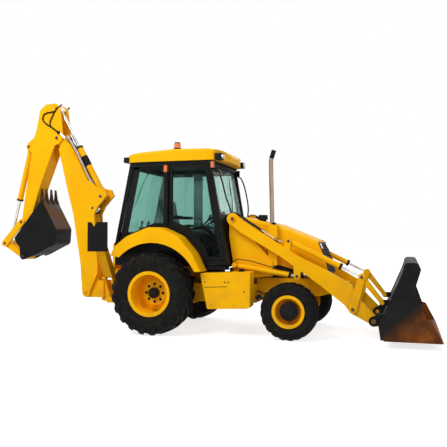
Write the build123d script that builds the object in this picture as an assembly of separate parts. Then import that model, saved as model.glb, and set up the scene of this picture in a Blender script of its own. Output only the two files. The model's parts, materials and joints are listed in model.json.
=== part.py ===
from build123d import *
import math
import os

# Backhoe loader: four-wheeled tractor with a front loader, a cab and a rear digging arm.
#
# Millimetres.  While modelling, x runs forward from the rear axle, y to the machine's left and
# z up from the ground.  At the end everything is shifted so that the origin lies on the ground
# below the middle of the machine.

# ---------------------------------------------------------------- driving dimensions
WHEELBASE = 2115
FRAME_HALF = 400  # half width of the chassis under the cab
NOSE_HALF = 330  # half width of the chassis ahead of the cab
FIT = 1.5  # radial play of a bore round its pin
NECK = 30  # length of the neck between a barrel and its eye
PLATE = 20  # thickness of the fabricated plates

# wheels: axle x, centre y, tyre radius, tyre width, bead radius, flange radius, disc y, hub radius
REAR_WHEEL = dict(x=0, y=914, radius=632, width=442, bead=305, flange=346, disc=858, hub=80,
                  lugs=16, lug_height=32, lug_width=82)
FRONT_WHEEL = dict(x=WHEELBASE, y=830, radius=419, width=303, bead=205, flange=240, disc=850, hub=122,
                   lugs=14, lug_height=22, lug_width=60)
KINGPIN_Y = 610
SPINDLE = 45
FRONT_AXLE_Z = FRONT_WHEEL["radius"]
REAR_AXLE_Z = REAR_WHEEL["radius"]

# hinge of the hood on the nose, seen from the side as (x, z)
HOOD_HINGE = (2600, 905)

# tow pin hole in the nose
TOW_X = 2680
TOW_LOW = 660
TOW_BORE = 16

# loader pins, seen from the side as (x, z)
ARM_PIVOT = (1195, 1775)
BUCKET_HINGE = (3301, 291)
LIFT_BASE = (1215, 1066)
LIFT_ROD_PIN = (2190, 912)
TILT_BASE = (2062, 1437)
BELLCRANK_TOP = (3136, 919)
BELLCRANK_FOOT = (3005, 452)
BUCKET_LINK_PIN = (3419, 559)
CROSS_TUBE = (2830, 722)
ARM_IN, ARM_OUT = 550, 640  # the two faces of a loader arm, measured from the centre plane
ARM_MID = (ARM_IN + ARM_OUT) / 2
EYE_HALF = 20  # half width of a loader cylinder's eye
LUG_GAP = 5  # clearance beside an eye
LOADER_BUCKET_HALF = 1140
LIP_X = 4216
LIP_Z = 100

# backhoe pins, seen from the side as (x, z)
SWING_X = -1300
BOOM_FOOT = (-1615, 525)
BOOM_CYLINDER_BASE = (-1450, 740)
BOOM_ROD_PIN = (-1500, 2000)
DIPPER_CYLINDER_BASE = (-1345, 2200)
DIPPER_PIVOT = (-2230, 3263)
DIPPER_ROD_PIN = (-2240, 3795)
HOE_CYLINDER_BASE = (-2840, 3140)
LEVER_PIVOT = (-2922, 1761)
LEVER_END = (-3269, 1376)
HOE_LINK_PIN = (-2881, 1143)
HOE_HINGE = (-2905, 1450)
BOOM_IN, BOOM_OUT = 103, 150
DIPPER_IN, DIPPER_OUT = 112, 140
EAR_IN, EAR_OUT = 147, 172
HOE_BUCKET_HALF = 245

# stabilizers, seen from behind as (y, z) for the left one
LEG_REAR, LEG_FRONT = -1005, -855  # the two faces of a stabilizer arm along x
LEG_PIVOT = (380, 560)
LEG_TIP = (1020, 1600)
LEG_CYLINDER_BASE = (200, 1350)
LEG_ROD_PIN = (540, 820)

# cab
CAB_HALF = 720
CAB_WALL = 45
ROOF_UNDERSIDE = 2690
ROOF_TOP = 2870

LEVER_EYE = 60  # radius of the lever's outer eye, the rearmost point of the machine
MID_X = (LIP_X + LEVER_END[0] - LEVER_EYE) / 2

# ---------------------------------------------------------------- helpers
# a view is the plane in which an outline is drawn, and the direction in which it is extruded
SIDE = (Plane(origin=(0, 0, 0), x_dir=(1, 0, 0), z_dir=(0, -1, 0)), Vector(0, 1, 0))
END = (Plane(origin=(0, 0, 0), x_dir=(0, 1, 0), z_dir=(1, 0, 0)), Vector(1, 0, 0))
TOP = (Plane.XY, Vector(0, 0, 1))

nodes = {}


def prism(face, low, high, view=SIDE):
    """A flat face drawn in a view, extruded from low to high across it."""
    plane, direction = view
    body = extrude(plane * face, amount=high - low, dir=direction)
    return Pos(*(direction * low)) * body


def slab(outline, low, high, view=SIDE, corner=0):
    """A plate with a straight-edged outline; corner rounds every corner of it."""
    if corner:
        path = FilletPolyline(*outline, radius=corner, close=True)
    else:
        path = Polyline(*outline, close=True)
    return prism(make_face(path), low, high, view)


def disc(centre, radius, low, high, view=SIDE, bore=0):
    """A round boss or pin across the view, with an optional bore."""
    body = prism(Pos(*centre) * Circle(radius), low, high, view)
    if bore:
        body -= prism(Pos(*centre) * Circle(bore), low - 1, high + 1, view)
    return body


def skin(points, thickness, low, high, corner=0, view=SIDE):
    """A bent sheet that follows a line of points."""
    path = FilletPolyline(*points, radius=corner) if corner else Polyline(*points)
    return prism(trace(path, thickness), low, high, view)


def strap(start, end, start_radius, end_radius, low, high, view=SIDE):
    """A link plate: two round ends and the straight flanks that touch both."""
    heading = math.atan2(end[1] - start[1], end[0] - start[0])
    spread = math.acos((start_radius - end_radius) / math.dist(start, end))
    corners = [
        (centre[0] + radius * math.cos(heading + side * spread),
         centre[1] + radius * math.sin(heading + side * spread))
        for centre, radius, side in (
            (start, start_radius, 1), (start, start_radius, -1),
            (end, end_radius, -1), (end, end_radius, 1))
    ]
    body = slab(corners, low, high, view)
    body += disc(start, start_radius, low, high, view)
    return body + disc(end, end_radius, low, high, view)


def bar(start, end, radius):
    """A round bar between two points in space."""
    run = Vector(*end) - Vector(*start)
    centred = (Align.CENTER, Align.CENTER, Align.MIN)
    return Plane(origin=start, z_dir=run) * Cylinder(radius, run.length, align=centred)


def block(x, y, z):
    """A box given by its (low, high) pairs."""
    size = [high - low for low, high in (x, y, z)]
    return Pos(x[0], y[0], z[0]) * Box(*size, align=(Align.MIN, Align.MIN, Align.MIN))


def both(body):
    """The body and its mirror image on the other side of the machine."""
    return body + mirror(body, about=Plane.XZ)


def along(start, end, distance):
    """The point at a distance from start towards end."""
    share = distance / math.dist(start, end)
    return (start[0] + (end[0] - start[0]) * share, start[1] + (end[1] - start[1]) * share)


def in_view(point, across, view):
    """A point drawn in a view, at a place across it, as a point in space."""
    plane, direction = view
    return plane.from_local_coords(Vector(*point)) + direction * across


def barrel(base, aim, length, radius, rod, eye, half, pin, middle=0, view=SIDE):
    """Cylinder barrel: an eye round its pin, then a tube with room for the rod."""
    low, high = middle - half, middle + half
    start = in_view(along(base, aim, eye + NECK), middle, view)
    mouth = in_view(along(base, aim, length), middle, view)
    gland = in_view(along(base, aim, length - 45), middle, view)
    deep = in_view(along(base, aim, eye + NECK + 10), middle, view)
    out = in_view(along(base, aim, length + 5), middle, view)
    body = bar(start, mouth, radius) + bar(gland, mouth, radius + 5)
    body += bar(in_view(base, middle, view), deep, min(half, radius))
    body += disc(base, eye, low, high, view)
    body -= bar(deep, out, rod + 5)
    return body - disc(base, pin + FIT, low - 40, high + 40, view)


def piston_rod(base, pin_at, length, radius, eye, half, bore, middle=0, view=SIDE):
    """Cylinder rod: a bar that reaches back into the barrel, with an eye on its end."""
    low, high = middle - half, middle + half
    inner = in_view(along(pin_at, base, length), middle, view)
    body = bar(inner, in_view(pin_at, middle, view), radius)
    body += disc(pin_at, eye, low, high, view)
    return body - disc(pin_at, bore, low - 1, high + 1, view)


# ---------------------------------------------------------------- wheels and axles
def ring(half_section, sides):
    """A body round X with flat sides.

    half_section holds (across, radius) points; the other half of the section is their mirror image.
    """
    section = half_section + [(-across, radius) for across, radius in reversed(half_section)]
    turns = [2 * math.pi * i / sides for i in range(sides)]
    faces = []
    for i in range(sides):
        for j in range(len(section)):
            (out_a, far_a), (out_b, far_b) = section[j - 1], section[j]
            corners = [(out, far * math.sin(turn), far * math.cos(turn)) for out, far, turn in (
                (out_a, far_a, turns[i - 1]), (out_b, far_b, turns[i - 1]),
                (out_b, far_b, turns[i]), (out_a, far_a, turns[i]))]
            faces.append(make_face(Polyline(*corners, close=True)))
    return Solid(Shell(faces))


def lug_bar(w):
    """One tread lug at the top of the wheel, with flat faces: from the middle out over the shoulder."""
    half, outer = w["width"] / 2, w["radius"]
    run = half * 0.8  # how far it runs round the tyre
    slope = math.atan2(run, half)
    spread = w["lug_width"] / 2 * math.cos(slope)
    profile = [(-8, outer * 0.86)]
    # share of the half width, share of the outer radius
    for across, reach in ((-0.04, 1), (0.80, 1), (0.99, 0.84)):
        away = abs(across * run - run / 2) + spread
        profile.append((across * half / math.cos(slope), math.sqrt((outer * reach) ** 2 - away ** 2)))
    profile[0] = (profile[1][0], outer * 0.80)
    upright = Plane(origin=(0, -run / 2, 0), x_dir=(math.cos(slope), math.sin(slope), 0),
                    z_dir=(math.sin(slope), -math.cos(slope), 0))
    return extrude(upright * make_face(Polyline(*profile, close=True)), w["lug_width"] / 2, both=True)


def tyre(w):
    """A carcass with two rows of slanting lugs that meet in a chevron; flat faces keep it light."""
    half, outer = w["width"] / 2, w["radius"]
    lug = lug_bar(w)
    step = 360 / w["lugs"]
    # the first lug's outermost corner stands exactly on the ground
    corner = min(lug.vertices(), key=lambda v: -math.hypot(v.Y, v.Z))
    start = 180 + math.degrees(math.atan2(corner.Y, corner.Z))
    lugs = []
    for i in range(w["lugs"]):
        lugs.append(Rot(start + i * step, 0, 0) * lug)
        lugs.append(Rot(start + (i + 0.5) * step, 0, 0) * mirror(lug, about=Plane.YZ))
    body = ring([(half * 0.80, outer - w["lug_height"]), (half, outer * 0.80),
                 (half * 0.78, w["flange"] * 1.01), (half * 0.78, w["bead"] * 0.98)], 2 * w["lugs"])
    body = body.fuse(*lugs) - Rot(0, 90, 0) * Cylinder(w["bead"], w["width"])
    return Pos(w["x"], w["y"], outer) * Rot(0, 0, 90) * body


def rim(w, studs, pitch):
    """Barrel, flanges, dished disc and hub, bored from behind for the axle's spindle."""
    centre = (w["x"], w["radius"])
    seat = w["width"] / 2 * 0.78
    low, high = w["y"] - seat, w["y"] + seat
    body = disc(centre, w["bead"], low, high, bore=w["bead"] - 12)
    for side in (low - 12, high):
        body += disc(centre, w["flange"], side, side + 12, bore=w["bead"] - 12)
    cone = Pos(0, 0, 0) * Cone(w["bead"] - 8, w["bead"] * 0.62, 60)
    cone -= Cone(w["bead"] - 24, w["bead"] * 0.62 - 16, 60)
    body += Pos(w["x"], w["disc"] - 44, w["radius"]) * Rot(-90, 0, 0) * cone
    body += disc(centre, w["bead"] * 0.62, w["disc"] - 18, w["disc"])
    body += disc(centre, w["hub"], w["disc"] - 130, w["disc"] + 60)
    body += disc(centre, w["hub"] * 0.7, w["disc"] + 60, w["disc"] + 78)
    for stud in range(studs):
        turn = 2 * math.pi * stud / studs
        at = (centre[0] + pitch * math.cos(turn), centre[1] + pitch * math.sin(turn))
        body += disc(at, 12, w["disc"], w["disc"] + 22)
    return body - disc(centre, SPINDLE + FIT, w["disc"] - 131, w["disc"] + 10)


def wheels():
    for place, w, studs, pitch in (("rear", REAR_WHEEL, 8, 137), ("front", FRONT_WHEEL, 8, 148)):
        left_tyre = tyre(w)
        left_rim = rim(w, studs, pitch) if place == "rear" else rim(w, 0, 0)
        nodes[f"tyre_{place}_left"] = left_tyre
        nodes[f"rim_{place}_left"] = left_rim
        nodes[f"tyre_{place}_right"] = mirror(left_tyre, about=Plane.XZ)
        nodes[f"rim_{place}_right"] = mirror(left_rim, about=Plane.XZ)


def axles():
    centre = (0, REAR_AXLE_Z)
    half = disc(centre, 125, FRAME_HALF, 600)
    half += disc(centre, 165, 600, 700)
    half += disc(centre, SPINDLE, 700, REAR_WHEEL["disc"])
    nodes["rear_axle"] = both(half)

    beam = block((2040, 2190), (-480, 480), (FRONT_AXLE_Z - 75, FRONT_AXLE_Z + 75))
    beam += disc((WHEELBASE, FRONT_AXLE_Z), 120, -110, 110)
    for low in (310, 480):
        yoke = block((2055, 2175), (470, KINGPIN_Y), (low, low + 48))
        yoke += Pos(WHEELBASE, KINGPIN_Y, low) * Cylinder(60, 48, align=(Align.CENTER, Align.CENTER, Align.MIN))
        beam += both(yoke)
    beam += both(block((2055, 2175), (430, 535), (310, 528)))
    nodes["front_axle"] = beam

    knuckle = Pos(WHEELBASE, KINGPIN_Y, 363) * Cylinder(55, 112, align=(Align.CENTER, Align.CENTER, Align.MIN))
    knuckle += disc((WHEELBASE, FRONT_AXLE_Z), 55, KINGPIN_Y, KINGPIN_Y + 70)
    knuckle += disc((WHEELBASE, FRONT_AXLE_Z), 100, KINGPIN_Y + 70, KINGPIN_Y + 100)
    knuckle += disc((WHEELBASE, FRONT_AXLE_Z), SPINDLE, KINGPIN_Y + 100, FRONT_WHEEL["disc"])
    nodes["knuckle_left"] = knuckle
    nodes["knuckle_right"] = mirror(knuckle, about=Plane.XZ)


# ---------------------------------------------------------------- chassis
def chassis():
    frame = slab([(-800, 470), (-800, 950), (-620, 1000), (-500, 760), (1500, 760), (1500, 470)],
                 -FRAME_HALF, FRAME_HALF)
    frame += slab([(1500, 500), (1500, 860), (2500, 860), (2640, 800), (2640, 640), (2500, 600)],
                  -NOSE_HALF, NOSE_HALF)
    for x in (1930, 2200):  # trunnion brackets either side of the front axle's middle
        frame += block((x, x + 100), (-110, 110), (FRONT_AXLE_Z - 60, 620))
    frame -= disc((WHEELBASE, FRONT_AXLE_Z), 126, -120, 120)
    # crossbeam under the loader towers
    frame += block((1180, 1360), (-490, 490), (780, 900)) + block((1180, 1360), (-390, 390), (750, 790))
    nodes["main_frame"] = frame

    hitch = block((2640, 2708), (-60, 60), (TOW_LOW, TOW_LOW + 40))
    hitch -= disc((TOW_X, 0), TOW_BORE, TOW_LOW - 1, TOW_LOW + 41, TOP)
    nodes["tow_hitch"] = hitch

    # two lugs that hold the swing post
    lugs = Part()
    for low in (385, 755):
        lug = slab([(-1135, -78), (SWING_X, -78), (SWING_X, 78), (-1135, 78)], low, low + 40, TOP)
        lugs += lug + disc((SWING_X, 0), 78, low, low + 40, TOP)
    lugs -= disc((SWING_X, 0), 36 + FIT, 380, 800, TOP)
    nodes["swing_lugs"] = lugs

    # rear crossbox with the uprights and pivot plates of the stabilizers
    rear = slab([(-1135, 380), (-1135, 950), (-800, 950), (-800, 380)], -290, 290)
    for low in (LEG_REAR - 25, LEG_FRONT + 5):
        rear += slab([(-290, 900), (-LEG_CYLINDER_BASE[0] - 60, 1390), (-140, 1410), (140, 1410),
                      (LEG_CYLINDER_BASE[0] + 60, 1390), (290, 900)], low, low + PLATE, END)
        for side in (1, -1):
            pivot = (side * LEG_PIVOT[0], LEG_PIVOT[1])
            rear += strap(pivot, (side * 250, 560), 62, 110, low, low + PLATE, END)
    for side in (1, -1):
        for pin in (LEG_PIVOT, LEG_CYLINDER_BASE):
            at = (side * pin[0], pin[1])
            rear += disc(at, 26, LEG_REAR - 30, LEG_FRONT + 30, END)
    nodes["rear_frame"] = rear

    towers = slab([(1175, 780), (1175, 1060), (1105, 1500), (1105, 1790), (1195, 1865), (1290, 1800), (1480, 1470),
                   (1790, 1130), (1800, 900), (1450, 870), (1420, 780)], 490, 520)
    towers += disc(ARM_PIVOT, 95, 520, 545)
    towers += disc(ARM_PIVOT, 32, 545, ARM_OUT + 12)
    towers += disc(ARM_PIVOT, 48, ARM_OUT + 5, ARM_OUT + 20)
    towers += disc(LIFT_BASE, 40, 520, ARM_MID - EYE_HALF - LUG_GAP)
    towers += disc(LIFT_BASE, 22, ARM_MID - EYE_HALF - LUG_GAP, ARM_MID + EYE_HALF + 16)
    towers += disc(LIFT_BASE, 34, ARM_MID + EYE_HALF + 4, ARM_MID + EYE_HALF + 16)
    nodes["loader_towers"] = both(towers)

    engine = block((1420, 2150), (-230, 230), (860, 1430)) + block((2330, 2390), (-330, 330), (860, 1370))
    nodes["engine_block"] = engine

    tank = slab([(758, 952), (1540, 985), (1530, 470), (1500, 438), (870, 414)], 650, 900, corner=25)
    tank += slab([(830, 500), (830, 765), (1530, 765), (1525, 500)], FRAME_HALF, 655)
    nodes["side_tanks"] = both(tank)


def fenders():
    outer = [(-690, 1205), (-620, 1345), (-420, 1500), (-60, 1640), (120, 1640), (430, 1500), (660, 1235),
             (790, 975)]
    top = skin(outer, 12, 665, 1000, corner=120)
    face = slab(outer + [(640, 975)], 988, 1000, corner=20) - disc((0, REAR_AXLE_Z), 775, 980, 1010)
    nodes["rear_fenders"] = both(top + face)


# ---------------------------------------------------------------- cab
def cab():
    fender_line = [(-796, 1215), (-640, 1360), (-420, 1525), (-60, 1665), (130, 1665), (450, 1520), (690, 1250),
                   (800, 1075), (1160, 1075)]
    outline = fender_line + [(1010, 1840), (865, 2690), (-495, 2690)]
    door_opening = [(175, 1700), (475, 1592), (728, 1282), (800, 1130), (1095, 1130), (960, 1800), (825, 2640),
                    (175, 2640)]
    quarter_window = [(-715, 1390), (-590, 1440), (-400, 1580), (-80, 1710), (95, 1710), (95, 2620), (-440, 2620)]
    side = slab(outline, CAB_HALF - CAB_WALL, CAB_HALF)
    side -= slab(door_opening, CAB_HALF - CAB_WALL - 1, CAB_HALF + 1)
    side -= slab(quarter_window, CAB_HALF - CAB_WALL - 1, CAB_HALF + 1)
    side += bar((141, CAB_HALF + 18, 1699), (141, CAB_HALF + 18, 2510), 28)
    frame = both(side)
    inner = CAB_HALF - CAB_WALL
    # front and rear headers, and the sills under the windscreen and the rear window
    for rail in (
        [(865, 2690), (876, 2610), (826, 2610), (815, 2690)],
        [(1010, 1840), (1018, 1780), (968, 1780), (960, 1840)],
        [(-495, 2690), (-514, 2600), (-464, 2600), (-445, 2690)],
        [(-722, 1560), (-735, 1500), (-685, 1500), (-672, 1560)],
    ):
        frame += slab(rail, -inner, inner)
    nodes["cab_frame"] = frame

    # tub below the windows: floor, wheel-side walls, rear wall and firewall
    wall = slab([(-790, 1040), (-790, 1215), (-640, 1350), (-420, 1515), (-60, 1655), (130, 1655), (450, 1510),
                 (690, 1240), (795, 1070), (795, 1040)], 648, 660)
    tub = both(wall)
    tub += slab([(-790, 1040), (-790, 1062), (1150, 1062), (1150, 1040)], -660, 660)
    tub += slab([(-790, 1040), (-790, 1215), (-738, 1500), (-724, 1500), (-776, 1215), (-776, 1040)], -648, 648)
    tub += slab([(1150, 1040), (1150, 1075), (1018, 1778), (1002, 1778), (1134, 1075), (1134, 1040)], -648, 648)
    tub += both(block((800, 1130), (600, 716), (995, 1040)))
    nodes["cab_tub"] = tub

    glass = both(slab(quarter_window, CAB_HALF - 24, CAB_HALF - 17))
    screen = slab([(842, 2608), (850, 2608), (1000, 1842), (992, 1842)], -640, 640)
    rear = slab([(-500, 2598), (-492, 2598), (-704, 1562), (-712, 1562)], -640, 640)
    nodes["cab_glass"] = glass + screen + rear

    # the roof is a rounded shell: side outline and plan outline cut from each other, then softened
    roof = slab([(-610, 2692), (-598, 2775), (-520, 2828), (-300, 2852), (250, 2885), (800, 2875), (1010, 2845),
                 (1065, 2775), (1058, 2692)], -740, 740)
    corner = [(-610, 560), (-560, 660), (-470, 725), (-380, 740), (800, 740), (900, 715), (960, 640), (1010, 480),
              (1055, 250), (1066, 0)]
    roof &= slab(corner + [(x, -y) for x, y in reversed(corner[:-1])], 2600, 2900, TOP)
    rim_edges = roof.edges().filter_by_position(Axis.Z, 2740, 2900)
    roof = fillet([edge for edge in rim_edges if abs(edge.center().Y) > 700], 45)
    lamp_room = block((925, 1100), (556, 704), (2690, 2794)) + block((-700, -545), (556, 704), (2690, 2780))
    nodes["cab_roof"] = roof - both(lamp_room)

    leaf = slab([(182, 1709), (480, 1602), (734, 1291), (806, 1137), (1088, 1137), (953, 1797), (818, 2633),
                 (182, 2633)], CAB_HALF - 38, CAB_HALF)
    pane = [(232, 1742), (508, 1643), (774, 1326), (836, 1187), (1027, 1187), (903, 1790), (774, 2583),
            (232, 2583)]
    leaf -= slab(pane, CAB_HALF - 40, CAB_HALF + 1)
    door_glass = slab(pane, CAB_HALF - 24, CAB_HALF - 17)
    for name, hand in (("left", leaf), ("right", mirror(leaf, about=Plane.XZ))):
        nodes[f"door_{name}"] = hand
    for name, hand in (("left", door_glass), ("right", mirror(door_glass, about=Plane.XZ))):
        nodes[f"door_glass_{name}"] = hand

    # work lamps in pairs at the front and rear corners, indicators at the sides and a beacon on top
    lamps = block((925, 1030), (556, 704), (2696, 2794)) + block((-622, -545), (556, 704), (2696, 2780))
    for y in (595, 665):
        lamps += Pos(1034, y, 2745) * Rot(0, 90, 0) * Cylinder(32, 12)
        lamps += Pos(-626, y, 2738) * Rot(0, 90, 0) * Cylinder(32, 12)
    lamps += block((870, 925), (CAB_HALF, CAB_HALF + 22), (2565, 2665))
    lamps += slab([(96, 2510), (96, 2630), (166, 2630), (166, 2510)], CAB_HALF, CAB_HALF + 45, corner=12)
    lamps = both(lamps)
    upright = (Align.CENTER, Align.CENTER, Align.MIN)
    lamps += Pos(268, -600, 2870) * Cone(68, 60, 34, align=upright) - roof
    lamps += Pos(268, -600, 2904) * Cone(56, 48, 96, align=upright)
    nodes["roof_lamps"] = lamps

    # seat: base, rounded cushions and armrests
    seat = slab([(20, 1420), (20, 1520), (380, 1520), (380, 1420)], -170, 170)
    seat += slab([(-60, 1515), (-60, 1600), (400, 1625), (432, 1560), (400, 1515)], -240, 240, corner=22)
    seat += slab([(-40, 1530), (-180, 2110), (-90, 2150), (40, 1600)], -230, 230, corner=28)
    seat += both(slab([(-60, 1790), (-70, 1830), (230, 1850), (235, 1805)], 222, 264, corner=12))
    seat += both(slab([(-95, 1600), (-85, 1800), (-20, 1800), (-20, 1600)], 225, 260))
    nodes["seat"] = seat

    console = slab([(760, 1062), (820, 1650), (900, 1700), (990, 1690), (1100, 1075), (1100, 1062)], -150, 150)
    console += bar((830, 0, 1590), (705, 0, 1792), 25)
    steering = Cylinder(40, 24) + revolve(Plane.XZ * Pos(190, 0) * RegularPolygon(16, 8), axis=Axis.Z)
    for turn in (30, 150, 270):
        steering += Rot(0, 0, turn) * Pos(96, 0, 0) * Box(186, 24, 12)
    console += Plane(origin=(700, 0, 1800), z_dir=(-0.53, 0, 0.85)) * steering
    levers = block((-700, -480), (-220, 220), (1062, 1480)) + block((20, 380), (-160, 160), (1062, 1420))
    for y in (-130, 130):
        levers += bar((-590, y, 1470), (-560, y, 1720), 12)
    nodes["cab_controls"] = console + levers


# ---------------------------------------------------------------- hood and exhaust
def nose_x(z, ahead):
    """Where the hood's front sheet stands at a height, moved ahead by a distance."""
    line = [(905, 2643), (1172, 2578), (1440, 2462)]
    (low, x_low), (high, x_high) = line[:2] if z < line[1][0] else line[1:]
    return x_low + (x_high - x_low) * (z - low) / (high - low) + ahead


def grille():
    """A dark frame on the hood's front, with level bars across it."""
    heights = (925, 1172, 1412)
    outline = [(nose_x(z, 0), z) for z in heights] + [(nose_x(z, 14), z) for z in reversed(heights)]
    face = slab(outline, -395, 395)
    for row in range(13):
        z = 965 + row * 32
        face -= block((2400, 2700), (-345, 345), (z, z + 20))
    nodes["grille"] = face


def hood():
    half = 405
    wall = 12
    # the top falls gently and the nose leans forward; the long top edges are rounded
    crest = [(1030, 1842), (1242, 1823), (1833, 1693), (2335, 1488), (2462, 1440), (2578, 1172), (2643, 905)]
    inside = [(1165, 1079), (1029, 1828), (1241, 1811), (1830, 1681), (2331, 1476), (2452, 1430), (2566, 1168),
              (2630, 904), (2540, 879), (1820, 1079)]

    def rounded(body, radius):
        """The body with the long edges along its top rounded."""
        return fillet([edge for edge in body.edges() if edge.center().Z > 1430 and abs(edge.center().Y) > 300
                       and edge.center().X < 2440], radius)

    shell = rounded(slab(crest + [(2540, 880), (1820, 1080), (1165, 1080)], -half, half), 48)
    shell -= rounded(slab(inside, -half + wall, half - wall), 36)
    # air opening behind the grille, a slanted vent and a grip slot in each side
    shell -= block((2440, 2700), (-340, 340), (960, 1390))
    for side in (-1, 1):
        low, high = sorted((side * (half + 1), side * (half - wall - 1)))
        for i in range(6):
            shell -= slab([(1700 + 28 * i, 1548 - 17 * i), (1712 + 28 * i, 1541 - 17 * i),
                           (1698 + 28 * i, 1462 - 17 * i), (1686 + 28 * i, 1469 - 17 * i)], low, high)
        shell -= strap((1675, 1140), (1762, 1108), 14, 13.9, low, high)
    # hinge tabs under the nose
    for y in (-250, 250):
        shell += slab([(2560, 885), (2610, 885), (2643, 905), (2628, 945), (2575, 930)], y - 15, y + 15)
        shell += disc(HOOD_HINGE, 22, y - 15, y + 15)
    nodes["hood"] = shell

    neck = disc((1568, -180), 55, 1600, 1772, TOP)
    neck -= slab(crest[:4] + [(2335, 1400), (1030, 1400)], -half, half)
    cap = Cone(82, 70, 74, align=(Align.CENTER, Align.CENTER, Align.MIN))
    nodes["precleaner"] = neck + Pos(1568, -180, 1772) * cap
    # the stack rises beside the hood, leans back a little and ends in a tip bent forward
    line = SIDE[0] * FilletPolyline((1790, 1030), (1757, 2680), (1806, 2838), radius=90)
    stack = Pos(0, -447, 0) * sweep(Plane(origin=line @ 0, z_dir=line % 0) * Circle(34), path=line)
    stack += bar((1790, -230, 1030), (1790, -447, 1030), 34)
    nodes["exhaust_stack"] = stack


# ---------------------------------------------------------------- loader
def loader():
    arm = slab([(1125, 1720), (1140, 1840), (1250, 1845), (1392, 1727), (1780, 1481), (2235, 1197), (2679, 981),
                (2998, 797), (3060, 640), (3350, 345), (3301, 224), (2970, 395), (2895, 502), (2535, 786),
                (1935, 1209), (1310, 1573)], ARM_IN, ARM_OUT)
    arm += disc(ARM_PIVOT, 92, ARM_IN, ARM_OUT)
    arm += disc(BUCKET_HINGE, 68, ARM_IN, ARM_OUT)
    for low, high in ((ARM_IN, ARM_MID - EYE_HALF - LUG_GAP), (ARM_MID + EYE_HALF + LUG_GAP, ARM_OUT)):
        arm += strap(LIFT_ROD_PIN, (2200, 1060), 46, 60, low, high)
        arm += strap(TILT_BASE, (2035, 1290), 40, 55, low, high)
    arm += disc(TILT_BASE, 22, ARM_IN, ARM_OUT)
    arm += disc(BELLCRANK_FOOT, 28, ARM_IN - 32, ARM_OUT + 32)
    arm += disc(BUCKET_HINGE, 30, ARM_IN - 36, ARM_OUT + 36)
    arm -= disc(ARM_PIVOT, 32 + FIT, ARM_IN - 1, ARM_OUT + 1)
    arms = both(arm) + disc(CROSS_TUBE, 65, -ARM_IN, ARM_IN)
    nodes["loader_arm"] = arms

    # both sides' cylinders are alike: base pin, rod pin, barrel length, rod length, barrel radius, rod radius
    for name, base, pin, barrel_length, rod_length, radius, rod in (
        ("lift", LIFT_BASE, LIFT_ROD_PIN, 890, 870, 42, 20),
        ("tilt", TILT_BASE, BELLCRANK_TOP, 868, 900, 42, 20),
    ):
        tube = barrel(base, pin, barrel_length, radius, rod, 40, EYE_HALF, 22, ARM_MID)
        nodes[f"{name}_barrels"] = both(tube)
        nodes[f"{name}_rods"] = both(piston_rod(base, pin, rod_length, rod, 40, EYE_HALF, 20, ARM_MID))

    plate = strap(BELLCRANK_FOOT, BELLCRANK_TOP, 62, 50, 645, 665)
    plate -= disc(BELLCRANK_FOOT, 28 + FIT, 640, 670)
    plate += disc(BELLCRANK_TOP, 22, 620, 645)
    inner = strap(BELLCRANK_FOOT, BELLCRANK_TOP, 62, 50, 525, 545)
    inner -= disc(BELLCRANK_FOOT, 28 + FIT, 520, 550)
    inner += disc(BELLCRANK_TOP, 22, 545, 570)
    nodes["bellcranks"] = both(plate + inner)

    link = strap(BELLCRANK_TOP, BUCKET_LINK_PIN, 42, 30, 621, 641)
    link += strap(BELLCRANK_TOP, BUCKET_LINK_PIN, 42, 30, 549, 569)
    link -= disc(BELLCRANK_TOP, 22 + FIT, 540, 650)
    brace = along(BELLCRANK_TOP, BUCKET_LINK_PIN, 230)
    link += disc(brace, 26, 549, 641)
    nodes["bucket_links"] = both(link)


def loader_bucket():
    half = LOADER_BUCKET_HALF
    wrapper = skin([(4050, 108), (3430, 108), (3406, 300), (3709, 985), (3740, 1150), (3900, 1150),
                    (3935, 1062)], 16, -half, half, corner=50)
    cutting_edge = slab([(4000, LIP_Z), (LIP_X, LIP_Z), (LIP_X, LIP_Z + 8), (4180, LIP_Z + 24), (4000, LIP_Z + 24)],
                        -half, half)
    cheek = slab([(LIP_X - 6, 112), (4070, 385), (4008, 409), (3865, 820), (3925, 1010), (3938, 1060), (3905, 1145),
                  (3740, 1140), (3687, 985), (3384, 300), (3410, 110)], half - 18, half)
    bucket = wrapper + cutting_edge + both(cheek)
    for low in (ARM_IN - 30, ARM_OUT + 5):
        ear = strap(BUCKET_HINGE, (3395, 320), 72, 80, low, low + 25)
        ear -= slab([(3430, 100), (3406, 300), (3709, 985), (3900, 985), (3900, 100)], low - 1, low + 26)
        bucket += both(ear - disc(BUCKET_HINGE, 30 + FIT, low - 1, low + 26))
    lug = strap(BUCKET_LINK_PIN, (3500, 560), 42, 40, ARM_MID - EYE_HALF, ARM_MID + EYE_HALF)
    lug -= slab([(3406, 300), (3709, 985), (3900, 985), (3900, 300)], ARM_MID - 30, ARM_MID + 30)
    bucket += both(lug)
    nodes["loader_bucket"] = bucket


# ---------------------------------------------------------------- backhoe
def kingpost():
    post = disc((SWING_X, 0), 60, 430, 750, TOP) + disc((SWING_X, 0), 36, 375, 805, TOP)
    ear = slab([(SWING_X, 440), (-1660, 440), (-1700, 525), (-1660, 600), (-1450, 812), (-1405, 800), (-1395, 740),
                (SWING_X, 740)], 60, 95)
    post += both(ear)
    post += disc(BOOM_FOOT, 85, -95, 95)
    post += disc(BOOM_FOOT, 32, -158, 158)
    post += disc(BOOM_CYLINDER_BASE, 26, -95, 95)
    post += slab([(-1600, 440), (-1600, 470), (-1310, 470), (-1310, 440)], -60, 60)
    nodes["kingpost"] = post


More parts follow.
